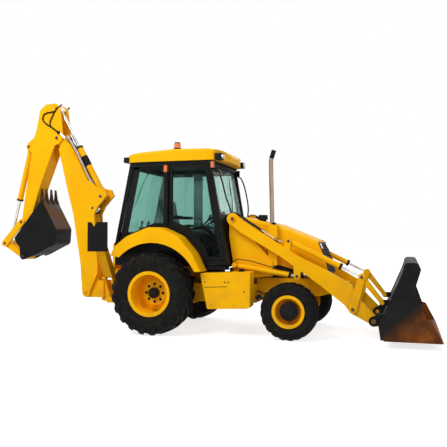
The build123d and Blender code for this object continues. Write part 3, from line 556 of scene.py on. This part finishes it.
def tyre(place, w, side):
    """The rubber: a carcass turned from its section, with curved tread bars whose flanks slope."""
    name = "left" if side > 0 else "right"
    half, outer, bead, flange = w["width"] / 2, w["radius"], w["bead"], w["flange"]
    crown = outer - w["lug_height"]
    belly = (flange + outer) / 2
    centre = at(w["x"], side * w["y"], outer)
    lugs = w["lugs"]

    def spot(across, radius, turn):
        return centre + Vector((radius * math.cos(turn), across, radius * math.sin(turn))) / 1000

    # from the rim to the tread: share of the half width, radius
    wall = [(0.79, bead), (0.79, flange + 2), (0.86, flange + 14), (0.90, flange + 18), (0.94, flange + 40),
            (0.985, belly - 14), (1.0, belly), (1.0, belly + 8), (0.985, belly + 12), (0.97, belly + 40),
            (0.93, outer * 0.90), (0.84, crown - 6), (0.70, crown), (0.35, crown + 2)]
    section = [(half * share, r) for share, r in wall]
    section += [(-a, r) for a, r in reversed(section)]

    def build(bm):
        rings = [[bm.verts.new(spot(a, r, turn)) for a, r in section] for turn in turns(96)]
        for i in range(len(rings)):
            joined(bm, rings[i - 1], rings[i])
        # a lug: share of the half width, top radius, root radius, half thickness as a share of its width
        profile = [(-0.05, outer, crown - 4, 0.40), (0.10, outer, crown - 4, 0.40),
                   (0.40, outer, crown - 4, 0.42), (0.68, outer - 3, crown - 8, 0.46),
                   (0.85, outer - 12, crown - 22, 0.52), (0.97, outer * 0.935, outer * 0.885, 0.58),
                   (1.035, outer * 0.875, outer * 0.82, 0.60), (1.02, outer * 0.825, outer * 0.80, 0.60)]
        run = half * 0.8 / outer
        for i in range(2 * lugs):
            hand = 1 if i % 2 else -1
            start = math.pi * (i + 0.25) / lugs
            ring = None
            for across, top, root, wide in profile:
                turn = start + run * (across - 0.5) * (1.15 - 0.15 * across)
                lean = wide * w["lug_width"] / outer
                corners = [bm.verts.new(spot(hand * across * half, r, turn + lean * spread))
                           for r, spread in ((root, -1.25), (top, -0.95), (top, 0.95), (root, 1.25))]
                if ring:
                    for k in range(3):
                        bm.faces.new((ring[k], ring[k + 1], corners[k + 1], corners[k]))
                else:
                    bm.faces.new(corners[::-1])
                ring = corners
            bm.faces.new(ring)
        bmesh.ops.recalc_face_normals(bm, faces=bm.faces)

    piece(f"tread_{place}_{name}", f"wheel_{place}_{name}", TYRE, build,
          (f"tyre_{place}_{name}",), 40)


for name, side in SIDES:
    wheel_parts("rear", REAR, side)
    wheel_parts("front", FRONT, side)
    tyre("rear", REAR, side)
    tyre("front", FRONT, side)


# ---------------- pins and cylinders
def pin_heads(name, body, rows):
    """Pin ends with a keeper plate: rows of (x, z), y of the seat, radius."""
    def build(bm):
        for (x, z), y, radius in rows:
            for side in (1, -1):
                rod(bm, at(x, side * (y - 2), z), at(x, side * (y + 9), z), radius, 28, radius - 4)
                rod(bm, at(x, side * (y + 8), z), at(x, side * (y + 15), z), radius * 0.42, 6)
    piece(name, body, STEEL, build)


pin_heads("lift_pin_heads", "loader_arm", ((LIFT_ROD_PIN, ARM_OUT, 24), (TILT_BASE, ARM_OUT, 24)))
pin_heads("loader_pivot_heads", "root", ((ARM_PIVOT, 660, 30),))
pin_heads("bellcrank_pin_heads", "loader_arm",
          ((BELLCRANK_FOOT, ARM_OUT + 32, 24), (BUCKET_HINGE, ARM_OUT + 36, 26)))
pin_heads("bellcrank_top_heads", "bellcrank", ((BELLCRANK_TOP, 665, 24),))
pin_heads("boom_pin_heads", "boom",
          ((DIPPER_CYLINDER_BASE, 150, 27), (BOOM_ROD_PIN, 150, 22), (DIPPER_PIVOT, 148, 28)))
pin_heads("boom_foot_heads", "kingpost", ((BOOM_FOOT, 147, 28),))
pin_heads("dipper_pin_heads", "dipper",
          ((HOE_CYLINDER_BASE, 92, 24), (DIPPER_ROD_PIN, 140, 26), (HOE_HINGE, 178, 24),
           (LEVER_PIVOT, 178, 24)))
pin_heads("lever_pin_heads", "bucket_levers", ((LEVER_END, 172, 24),))
pin_heads("bucket_pin_heads", "backhoe_bucket", ((HOE_LINK_PIN, 172, 26),))


def along(start, end, distance):
    """The point at a distance from the start of a line in side view."""
    share = distance / math.dist(start, end)
    return (start[0] + (end[0] - start[0]) * share, start[1] + (end[1] - start[1]) * share)


def barrel_sleeve(bm, base, aim, reach, y, radius, wall):
    """A sleeve on a barrel between two distances from its base pin."""
    (x0, z0), (x1, z1) = [along(base, aim, distance) for distance in reach]
    sleeve(bm, at(x0, y, z0), at(x1, y, z1), radius, wall)


def gland_rings(name, body, base, aim, length, radius, offsets):
    """The dark screwed gland at a barrel's mouth."""
    def build(bm):
        for y in offsets:
            barrel_sleeve(bm, base, aim, (length - 30, length + 4), y, radius + 5, 4)
    piece(name, body, PLASTIC, build)


gland_rings("tilt_glands", "tilt_barrel", TILT_BASE, BELLCRANK_TOP, 868, 42, (ARM_MID, -ARM_MID))
gland_rings("lift_glands", "lift_barrel", LIFT_BASE, LIFT_ROD_PIN, 890, 42, (ARM_MID, -ARM_MID))
gland_rings("boom_gland", "boom_barrel", BOOM_CYLINDER_BASE, BOOM_ROD_PIN, 1185, 52, (0,))
gland_rings("dipper_gland", "dipper_barrel", DIPPER_CYLINDER_BASE, DIPPER_ROD_PIN, 1030, 55, (0,))
gland_rings("hoe_bucket_gland", "hoe_bucket_barrel", HOE_CYLINDER_BASE, LEVER_END, 1010, 50, (0,))


# ---------------- hydraulic lines
def hoses(name, body, material, radius, routes):
    """A piece of lines that follow routes of points in millimetres."""
    def build(bm):
        for route in routes:
            pipe(bm, [at(*p) for p in route], radius)
    piece(name, body, material, build)


def mirrored(route):
    """The same route on the other side of the machine."""
    return [(x, -y, z) for x, y, z in route]


arm_hoses = []
arm_pipes = []
for y in (562, 590, 618):
    hose = [(1104, y, 1762), (1122, y, 1832), (1182, y, 1866), (1240, y, 1858), (1320, y, 1815),
            (1450, y, 1722), (1560, y, 1655), (1640, y, 1602)]
    tube = [(1640, y, 1602), (1760, y, 1528), (1850, y, 1470), (1960, y, 1420)]
    arm_hoses += [hose, mirrored(hose)]
    arm_pipes += [tube, mirrored(tube)]
lift_line = [(1222, 640, 1112), (1240, 646, 1142), (1290, 648, 1158), (1479, 648, 1132),
             (1634, 648, 1092), (1850, 646, 1038), (2040, 640, 1000), (2066, 625, 978)]
hoses("loader_arm_hoses", "loader_arm", HOSE, 15, arm_hoses)


def arm_clamps(bm):
    """Clamps that hold the lines down on each loader arm."""
    for side in (1, -1):
        for x, z in ((1652, 1597), (1868, 1463)):
            plate(bm, [(x - 34, z - 4), (x + 22, z - 40), (x + 36, z - 12), (x - 20, z + 26)],
                  *span(side, 556, 606), 4)


piece("arm_hose_clamps", "loader_arm", PLASTIC, arm_clamps)
hoses("loader_arm_pipes", "loader_arm", CHROME, 7, arm_pipes)
hoses("lift_barrel_pipes", "lift_barrel", HOSE, 7, [lift_line, mirrored(lift_line)])

boom_tube = ((-1460, 2330), (-1600, 2520), (-1740, 2790), (-1860, 3010), (-1990, 3210), (-2040, 3290))
boom_tubes = [[(x, y, z + lift) for x, z in boom_tube]
              for y, lift in ((-102, 0), (-87.04, 26), (87.04, 26), (102, 0))]
hoses("boom_pipes", "boom", CHROME, 8, boom_tubes)


# ---------------- cab fittings
def nose_x(z):
    """Where the hood's front sheet stands at a height."""
    x, corner = NOSE_CORNER
    return x - (NOSE_LEAN_ABOVE if z > corner else NOSE_LEAN_BELOW) * (z - corner)


def screen_x(z):
    """The outer face of the windscreen at a height."""
    return SCREEN_FOOT[0] - SCREEN_LEAN * (z - SCREEN_FOOT[1])


def rear_x(z):
    """The outer face of the rear window at a height."""
    return REAR_FOOT[0] + REAR_LEAN * (z - REAR_FOOT[1])


def lens(bm, centre, axis, radius, depth):
    """A round lens with a domed front, its back at centre, sizes in millimetres."""
    way = Vector(axis).normalized() * depth / 1000
    rod(bm, centre, centre + way * 0.5, radius, 28)
    rod(bm, centre + way * 0.5, centre + way * 0.8, radius, 28, radius * 0.85)
    rod(bm, centre + way * 0.8, centre + way, radius * 0.85, 28, radius * 0.5)


# seats of the roof's work lamps and whether they look ahead or back
LAMP_SEATS = [(x, side * y, z, way) for side in (1, -1) for y in (595, 665)
              for x, z, way in ((1040, 2745, 1), (-632, 2738, -1))]


def work_lenses(bm):
    for x, y, z, way in LAMP_SEATS:
        lens(bm, at(x + way * 0.5, y, z), (way, 0, 0), 27, 9)


def work_rims(bm):
    for x, y, z, way in LAMP_SEATS:
        rod(bm, at(x - way * 6, y, z), at(x + way * 1.5, y, z), 33, 32)


def indicators(bm):
    for side in (1, -1):
        brick(bm, at(867, side * 721, 2562), at(928, side * 746, 2668), 8)
        brick(bm, at(93, side * 724, 2507), at(169, side * 768, 2633), 12)


def beacon(bm):
    post(bm, *BEACON, ((2903, 2980, 58, 52), (2980, 2995, 52, 40), (2995, 3001, 40, 22)), 40)


def beacon_foot(bm):
    post(bm, *BEACON, ((2882, 2894, 74, 70), (2894, 2908, 63, 63)), 40)


piece("work_lamp_lenses", "root", CLEAR, work_lenses)
piece("work_lamp_rims", "root", CHROME, work_rims)
piece("indicator_lenses", "root", AMBER, indicators)
piece("beacon_dome", "root", AMBER, beacon)
piece("beacon_foot", "root", PLASTIC, beacon_foot)


def wipers(bm):
    """A bent arm and its blade on the windscreen and on the rear window."""
    for z0, z1, y1, face, way in ((1862, 2440, 200, screen_x, 1), (2570, 2080, -230, rear_x, -1)):
        middle = (z0 + z1) / 2
        foot = at(face(z0) + way * 12, 0, z0)
        elbow = at(face(middle) + way * 34, y1 / 2, middle)
        tip = at(face(z1) + way * 16, y1, z1)
        ahead = Vector((way, 0, 0))
        rod(bm, foot - ahead * 0.012, foot + ahead * 0.016, 18, 16)
        rod(bm, foot, elbow, 6, 10)
        rod(bm, elbow, tip, 4.5, 10)
        blade = (tip - foot).normalized()
        rod(bm, tip - blade * 0.26, tip + blade * 0.13, 5, 8)


def glass_seals(bm):
    """Rubber round the windscreen and the rear window."""
    for side in (1, -1):
        for face, low, high in ((screen_x, 1848, 2602), (rear_x, 1568, 2592)):
            rod(bm, at(face(low), side * 636, low), at(face(high), side * 636, high), 9, 8)
    for face, z in ((screen_x, 1850), (screen_x, 2600), (rear_x, 1570), (rear_x, 2590)):
        rod(bm, at(face(z), -638, z), at(face(z), 638, z), 9, 8)


def side_rails(bm):
    """Grab rails that rise from the loader towers past the windscreen to the front pillars."""
    for side in (1, -1):
        route = [(1136, 505, 1838), (1136, 512, 1880), (1124, 580, 1975), (1093, 650, 2110),
                 (1040, 668, 2340), (990, 668, 2480), (955, 668, 2532), (915, 668, 2556),
                 (880, 668, 2556), (858, 672, 2530)]
        pipe(bm, [at(x, side * y, z) for x, y, z in route], 12, 14)
        rod(bm, at(1136, side * 505, 1828), at(1136, side * 505, 1846), 20, 20)


piece("wipers", "root", PLASTIC, wipers)
piece("window_seals", "root", HOSE, glass_seals)
piece("side_rails", "root", BLACK, side_rails)

# outlines of the door's pane and of the pane behind it in side view
PANE = ((232, 1742), (508, 1643), (774, 1326), (836, 1187), (1027, 1187), (903, 1790), (774, 2583),
        (232, 2583))
QUARTER = ((-715, 1390), (-590, 1440), (-400, 1580), (-80, 1710), (95, 1710), (95, 2620), (-440, 2620))


def seal(bm, outline, y, radius):
    """A rubber bead round a pane."""
    corners = [at(x, y, z) for x, z in outline]
    for start, end in zip(corners, corners[1:] + corners[:1]):
        rod(bm, start, end, radius, 8)
        ball(bm, start, radius)


def hinge_x(z):
    """Where the door's hinge line stands at a height."""
    return 1092 - 0.1805 * (z - 1137)


for name, side in SIDES:
    def door_trim(bm, side=side):
        """The pane's bead and a thicker one on the door's lower edge, over the fender."""
        seal(bm, PANE, side * (CAB_HALF + 1), 6)
        arc = [(190, 1702), (330, 1655), (480, 1598), (600, 1455), (732, 1288), (772, 1205),
               (800, 1140)]
        pipe(bm, [at(x, side * (CAB_HALF + 2), z) for x, z in arc], 13, 12)

    def door_metal(bm, side=side):
        """The bow grip and three hinge barrels."""
        grip = ((718, 1862), (752, 1880), (752, 1975), (718, 1993))
        pipe(bm, [at(207, side * y, z) for y, z in grip], 9, 12, 5)
        for z in (1290, 1760, 2420):
            start, end = [at(hinge_x(h), side * 722, h) for h in (z - 48, z + 48)]
            rod(bm, start, end, 15, 20)

    piece(f"door_seal_{name}", f"door_{name}", HOSE, door_trim)
    piece(f"door_grip_{name}", f"door_{name}", BLACK, door_metal)


def quarter_seals(bm):
    """The rear side panes' beads and the dark edge between the fenders and the cab."""
    for side in (1, -1):
        seal(bm, QUARTER, side * (CAB_HALF + 1), 6)
        arc = [(-700, 1218), (-628, 1363), (-424, 1519), (-60, 1661), (122, 1661), (300, 1595),
               (442, 1515), (560, 1393), (678, 1248), (745, 1113), (790, 993)]
        pipe(bm, [at(x, side * 690, z) for x, z in arc], 15, 12)


piece("quarter_seals", "root", HOSE, quarter_seals)


def cab_lining(bm):
    """The dark headliner and the trim that covers the pillars from inside."""
    brick(bm, at(-520, -690, 2676), at(900, 690, 2688), 4)
    for side in (1, -1):
        low, high = span(side, 692, 706)
        plate(bm, [(-690, 1400), (-560, 1475), (-330, 2590), (-430, 2640)], low, high, 3)
        plate(bm, [(-440, 2575), (60, 2575), (60, 2680), (-450, 2680)], low, high, 3)
        low, high = span(side, 676, 690)
        plate(bm, [(60, 2600), (790, 2600), (780, 2680), (60, 2680)], low, high, 3)
        plate(bm, [(80, 1700), (205, 1700), (205, 2680), (80, 2680)], low, high, 3)
        for z in (1600, 2600):
            x = rear_x(z)
            brick(bm, at(x + 30, side * 560 - 60, z), at(x + 44, side * 560 + 60, z + 14), 3)


piece("cab_lining", "root", PLASTIC, cab_lining)


# ---------------- inside the cab
def lever_knobs(bm):
    """Levers of the digging arm, of the loader and of the gears, and the pedals."""
    for y in (-130, 130):
        ball(bm, at(-558, y, 1738), 24, (1, 1, 1.3))
        for x, shift in ((-600, -25), (-560, 25), (-630, 25)):
            beside = y + shift
            pipe(bm, [at(x, beside, 1478), at(x + 2, beside, 1560), at(x + 15, beside, 1640)], 6, 8, 4)
            ball(bm, at(x + 15, beside, 1650), 15)
    # loader lever and gear lever beside the console
    for y, top in ((-175, 1830), (-215, 1790), (170, 1760)):
        pipe(bm, [at(790, y, 1300), at(760, y, 1550), at(690, y * 1.1, top)], 8, 10, 5)
        ball(bm, at(688, y * 1.1, top + 12), 22)
    # pedals on slanting stalks
    for y in (-200, -110, 110, 200):
        brick(bm, at(955, y - 32, 1120), at(975, y + 32, 1215), 6)
        rod(bm, at(965, y, 1180), at(1060, y, 1300), 7, 8)


def dashboard(bm):
    outline = [(800, 1655), (835, 1735), (890, 1760), (950, 1720), (955, 1690), (900, 1700), (820, 1650)]
    plate(bm, outline, -185, 185, 8)
    for y in (-110, -37, 37, 110):
        rod(bm, at(845, y, 1722), at(829, y, 1730), 28, 24)


piece("lever_knobs", "root", PLASTIC, lever_knobs)
piece("dashboard", "root", PLASTIC, dashboard)


def solid_of(obj):
    """The object's mesh with its modifiers worked in."""
    return bpy.data.meshes.new_from_object(obj.evaluated_get(bpy.context.evaluated_depsgraph_get()))


def work_in(obj):
    """Turns the object's modifiers into its mesh."""
    made = solid_of(obj)
    obj.modifiers.clear()
    obj.data = made


def cushion(name, build, reach, channels):
    """A padded form: its skin is blown up, held within a reach in metres, then sewn along channels."""
    obj = placed(name, filled_mesh(name, build))
    skin = obj.modifiers.new("skin", "REMESH")
    skin.mode = "VOXEL"
    skin.voxel_size = CUSHION_STEP
    work_in(obj)
    rest = [v.co.copy() for v in obj.data.vertices]
    cloth = obj.modifiers.new("cloth", "CLOTH")
    cloth.settings.use_pressure = True
    cloth.settings.uniform_pressure_force = CUSHION_PRESSURE
    cloth.settings.effector_weights.gravity = 0
    cloth.point_cache.frame_start = 1
    cloth.point_cache.frame_end = CUSHION_FRAMES
    for step in range(1, CUSHION_FRAMES + 1):
        bpy.context.scene.frame_set(step)
    work_in(obj)
    bpy.context.scene.frame_set(1)
    for v, start in zip(obj.data.vertices, rest):
        way = v.co - start
        if way.length > reach:
            v.co = start + way * (reach / way.length)
    smooth = obj.modifiers.new("smooth", "SUBSURF")
    smooth.levels = smooth.render_levels = 1
    work_in(obj)
    normals = [v.normal.copy() for v in obj.data.vertices]
    for v, normal in zip(obj.data.vertices, normals):
        depth = sum(math.exp(-((v.co.y - y) / CHANNEL) ** 2) for y in channels)
        v.co -= normal * CHANNEL * depth
    obj.data.shade_smooth()
    obj.data.materials.clear()
    obj.data.materials.append(SEAT)
    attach(obj, "root")


def seat_squab(bm):
    outline = [(-25, 1530), (400, 1530), (422, 1560), (415, 1600), (380, 1612), (60, 1600), (-25, 1590)]
    plate(bm, outline, -228, 228, 14)


def seat_back(bm):
    plate(bm, [(-25, 1618), (25, 1618), (-98, 2128), (-165, 2095), (-155, 2040)], -218, 218, 16)


def seat_frame(bm):
    """The suspension base, its pan and the armrests."""
    brick(bm, at(30, -165, 1422), at(372, 165, 1522), 8)
    for z in (1440, 1462, 1484, 1506):
        brick(bm, at(24, -170, z), at(378, 170, z + 9), 3)
    for side in (1, -1):
        brick(bm, at(-66, side * 243 - 20, 1796), at(233, side * 243 + 20, 1846), 16)
        rod(bm, at(-45, side * 236, 1640), at(-45, side * 236, 1800), 13, 14)


cushion("seat_squab", seat_squab, 0.012, (-0.13, 0.13))
cushion("seat_back", seat_back, 0.014, (-0.13, 0.13))
piece("seat_frame", "root", PLASTIC, seat_frame, ("seat",))


# ---------------- hood and grille
def on_nose(heights, back, front):
    """The outline of a strip that follows the hood's front between two distances ahead of it."""
    return ([(nose_x(z) + back, z) for z in heights]
            + [(nose_x(z) + front, z) for z in reversed(heights)])


def head_lamps(bm):
    for side in (1, -1):
        plate(bm, on_nose((1322, 1398), 13, 21), *span(side, 262, 386), 3)


def lamp_frames(bm):
    for side in (1, -1):
        plate(bm, on_nose((1312, 1408), 12, 17), *span(side, 252, 392), 2)


def grille_bars(bm):
    for y in (-230, -115, 0, 115, 230):
        plate(bm, on_nose((955, 1172, 1300), 2, 11), y - 4, y + 4)


def hood_latches(bm):
    """A latch and three bolts on each side of the hood."""
    for side in (1, -1):
        brick(bm, at(1690, side * 403, 1110), at(1748, side * 413, 1138), 4)
        for x, z in ((1200, 1110), (1790, 1110), (1120, 1700)):
            bolt(bm, at(x, side * 404.5, z), (0, side, 0), 9, 6)


def stack_tip(bm):
    """The bent black end of the exhaust, and the collar at the top of its cover."""
    bend = ((1764, 2712), (1775, 2742), (1791, 2792), (1806, 2838))
    pipe(bm, [at(x, STACK_Y, z) for x, z in bend], 36.5, 28, 3)
    rod(bm, at(1797, STACK_Y, 1690), at(1796, STACK_Y, 1716), 39, 28)


def stack_guard(bm):
    """The yellow cover over the lower part of the exhaust."""
    plate(bm, [(1722, 1062), (1862, 1062), (1862, 1655), (1842, 1676), (1722, 1708)], -498, -488, 3)
    walls = [[(x, 1062), (x + 9, 1062), (x + 9, 1664), (x, 1690)] for x in (1722, 1853)]
    lips = [[(1722, 1708), (1750, 1702), (1750, 1694), (1722, 1700)],
            [(1842, 1676), (1862, 1655), (1862, 1647), (1836, 1669)]]
    for outline in walls + lips:
        plate(bm, outline, -494, -418)


piece("stack_guard", "root", YELLOW, stack_guard)
piece("head_lamps", "hood", CLEAR, head_lamps)
piece("head_lamp_frames", "hood", PLASTIC, lamp_frames)
piece("grille_bars", "hood", PLASTIC, grille_bars)
piece("hood_latches", "hood", PLASTIC, hood_latches)
piece("stack_tip", "root", BLACK, stack_tip)


# ---------------- tanks, steps and chassis
def tank_trim(bm):
    """A dark strip and plugs on the tanks' sides, and raised strips on the steps above."""
    for side in (1, -1):
        plate(bm, [(824, 736), (1189, 752), (1189, 761), (824, 745)], *span(side, 898, 901.5))
        for x, z in ((830, 821), (1150, 822), (1205, 822), (1450, 690)):
            rod(bm, at(x, side * 898, z), at(x, side * 903, z), 11, 16)
        for x in range(810, 1196, 55):
            top = 952 + (x - 758) * 33 / 782
            brick(bm, at(x, side * 700, top - 2), at(x + 12, side * 872, top + 6), 2)


def tank_caps(bm):
    for side in (1, -1):
        rod(bm, at(1380, side * 790, 976), at(1380, side * 790, 1012), 46, 32, 42)
        rod(bm, at(1380, side * 790, 1012), at(1380, side * 790, 1024), 30, 6)


def under_frame(bm):
    """A round can, a rod and a line low on each side of the frame."""
    for side in (1, -1):
        rod(bm, at(1560, side * 400, 570), at(1560, side * 520, 570), 38, 24)
        rod(bm, at(1470, side * 430, 600), at(1640, side * 430, 545), 20, 16)
        route = ((1500, 470, 640), (1570, 470, 660), (1640, 430, 620), (1700, 380, 640))
        pipe(bm, [at(x, side * y, z) for x, y, z in route], 11, 10)


piece("tank_trim", "root", PLASTIC, tank_trim)
piece("tank_caps", "root", PLASTIC, tank_caps)
piece("under_frame_lines", "root", IRON, under_frame)


# ---------------- buckets
def edge_bolts(bm):
    """Bolts of the cutting edge, above and below it, and of the side edges."""
    for y in range(-1050, 1051, 175):
        for x in (4040, 4105):
            rod(bm, at(x, y, 123), at(x, y, 127), 15, 20, 13)
            rod(bm, at(x, y, 97), at(x, y, 101), 15, 6)
    for side in (1, -1):
        for x, z in ((4100, 180), (4052, 290), (4000, 360)):
            bolt(bm, at(x, side * 1139, z), (0, side, 0), 11, 9)


def side_edges(bm):
    outline = [(3462, 99), (4000, 99), (4190, 99), (4060, 330), (4030, 330), (4120, 130), (3462, 116)]
    for side in (1, -1):
        plate(bm, outline, *span(side, 1138, 1146), 2)


def tooth_pins(bm):
    for y in (-215, -73.5, 73.5, 215):
        rod(bm, at(-2455, y - 31, 2180), at(-2455, y + 31, 2180), 9, 14)


piece("edge_bolts", "loader_bucket", LOADER_STEEL, edge_bolts)
piece("bucket_side_edges", "loader_bucket", LOADER_STEEL, side_edges)
piece("tooth_pins", "backhoe_bucket", STEEL, tooth_pins)


# ---------------- backhoe lines and guards
def boom_lines(bm):
    """Four hoses along the boom."""
    route = ((-1420, 2250), (-1500, 2400), (-1631, 2580), (-1770, 2815), (-1863, 2990), (-1945, 3110),
             (-2020, 3200), (-2060, 3290))
    for y in (-60, -36, 36, 60):
        pipe(bm, [at(x, y, z) for x, z in route], 10, 12)


def barrel_guard(bm):
    barrel_sleeve(bm, DIPPER_CYLINDER_BASE, DIPPER_ROD_PIN, (640, 830), 0, 55.5, 5)


def tail_loops(bm):
    """Hoses that loop beside the dipper's tail."""
    outer = ((-2136, 128, 3858), (-2215, 138, 3800), (-2262, 150, 3745), (-2322, 150, 3733),
             (-2470, 150, 3706), (-2509, 150, 3602), (-2427, 150, 3515), (-2319, 150, 3450),
             (-2184, 150, 3349))
    inner = ((-2268, 154, 3740), (-2308, 154, 3662), (-2360, 154, 3547), (-2330, 154, 3460),
             (-2200, 154, 3368))
    for side in (1, -1):
        pipe(bm, [at(x, side * y, z) for x, y, z in outer], 13, 14)
        pipe(bm, [at(x, side * y, z) for x, y, z in inner], 11, 12)
        brick(bm, at(-2206, side * 156 - 14, 3330), at(-2150, side * 156 + 14, 3382), 4)


def dipper_tubes(bm):
    """Two bright tubes, one above the other, on each side near the dipper's pivot."""
    route = ((-2180, 3352), (-2077, 3262), (-2050, 3238))
    for side in (1, -1):
        for lift in (0, 26):
            pipe(bm, [at(x, side * 152, z + lift) for x, z in route], 8, 12, 4)


piece("boom_hose_lines", "boom", HOSE, boom_lines)
piece("tail_hose_loops", "dipper", HOSE, tail_loops)
piece("dipper_tubes", "dipper", CHROME, dipper_tubes)
piece("dipper_barrel_guard", "dipper_barrel", PLASTIC, barrel_guard)


# ---------------- light, floor and camera
def area(name, place, aim, size, power):
    """A white area light of a size in metres and a power in watts, turned to a point."""
    light = bpy.data.lights.new(name, "AREA")
    light.shape = "RECTANGLE"
    light.size, light.size_y = size
    light.energy = power
    obj = placed(name, light)
    obj.location = place
    obj.rotation_euler = (Vector(aim) - Vector(place)).to_track_quat("-Z", "Y").to_euler()


area("key", place=(-4, -8, 10), aim=(0, 0, 1.2), size=(5, 4), power=800)
area("fill", place=(9, -7, 4), aim=(0, 0, 1.2), size=(5, 4), power=120)
area("rim", place=(0, 9, 7), aim=(0, 0, 1.5), size=(8, 3), power=160)


def looked_at(tree):
    """1 for rays that show the background: straight, mirrored or through glass."""
    paths = tree.nodes.new("ShaderNodeLightPath")
    value = paths.outputs["Is Camera Ray"]
    for kind in ("Is Glossy Ray", "Is Transmission Ray"):
        value = worked_out(tree, "MAXIMUM", value, paths.outputs[kind])
    return value


world = bpy.data.worlds.new("studio")
world.use_nodes = True
sky = world.node_tree
light_sky = sky.nodes["Background"]
light_sky.inputs["Color"].default_value = (1, 1, 1, 1)
light_sky.inputs["Strength"].default_value = 0.6
backdrop = sky.nodes.new("ShaderNodeBackground")
backdrop.inputs["Color"].default_value = (1, 1, 1, 1)
backdrop.inputs["Strength"].default_value = 1.0
switch = sky.nodes.new("ShaderNodeMixShader")
sky.links.new(looked_at(sky), switch.inputs["Fac"])
sky.links.new(light_sky.outputs["Background"], switch.inputs[1])
sky.links.new(backdrop.outputs["Background"], switch.inputs[2])
sky.links.new(switch.outputs["Shader"], sky.nodes["World Output"].inputs["Surface"])
bpy.context.scene.world = world


def floor():
    """A wide floor that takes the shadow and glows where the background is looked at."""
    mesh = bpy.data.meshes.new("floor")
    far = 60
    corners = [(-far, -far, 0), (far, -far, 0), (far, far, 0), (-far, far, 0)]
    mesh.from_pydata(corners, [], [(0, 1, 2, 3)])
    mat, tree, bsdf = shader("floor_white")
    bsdf.inputs["Base Color"].default_value = (0.6, 0.6, 0.6, 1)
    bsdf.inputs["Roughness"].default_value = 0.9
    bsdf.inputs["Specular IOR Level"].default_value = 0
    bsdf.inputs["Emission Color"].default_value = (1, 1, 1, 1)
    glow = worked_out(tree, "MULTIPLY", looked_at(tree), 0.75)
    tree.links.new(glow, bsdf.inputs["Emission Strength"])
    mesh.materials.append(mat)
    obj = placed("floor", mesh)
    obj.location.z = -0.001


floor()

camera = bpy.data.cameras.new("camera")
camera.sensor_width = 36
camera.lens = 47.44
camera.shift_x = -0.0223
camera.shift_y = -0.0145
eye = placed("camera", camera)
eye.location = at(3728, -9337, 1534)
pitch, yaw = 0.0298, 0.2819
eye.rotation_euler = (math.pi / 2 + pitch, 0, yaw)
bpy.context.scene.camera = eye
bpy.context.scene.view_settings.view_transform = "Standard"
bpy.context.scene.view_settings.look = "None"
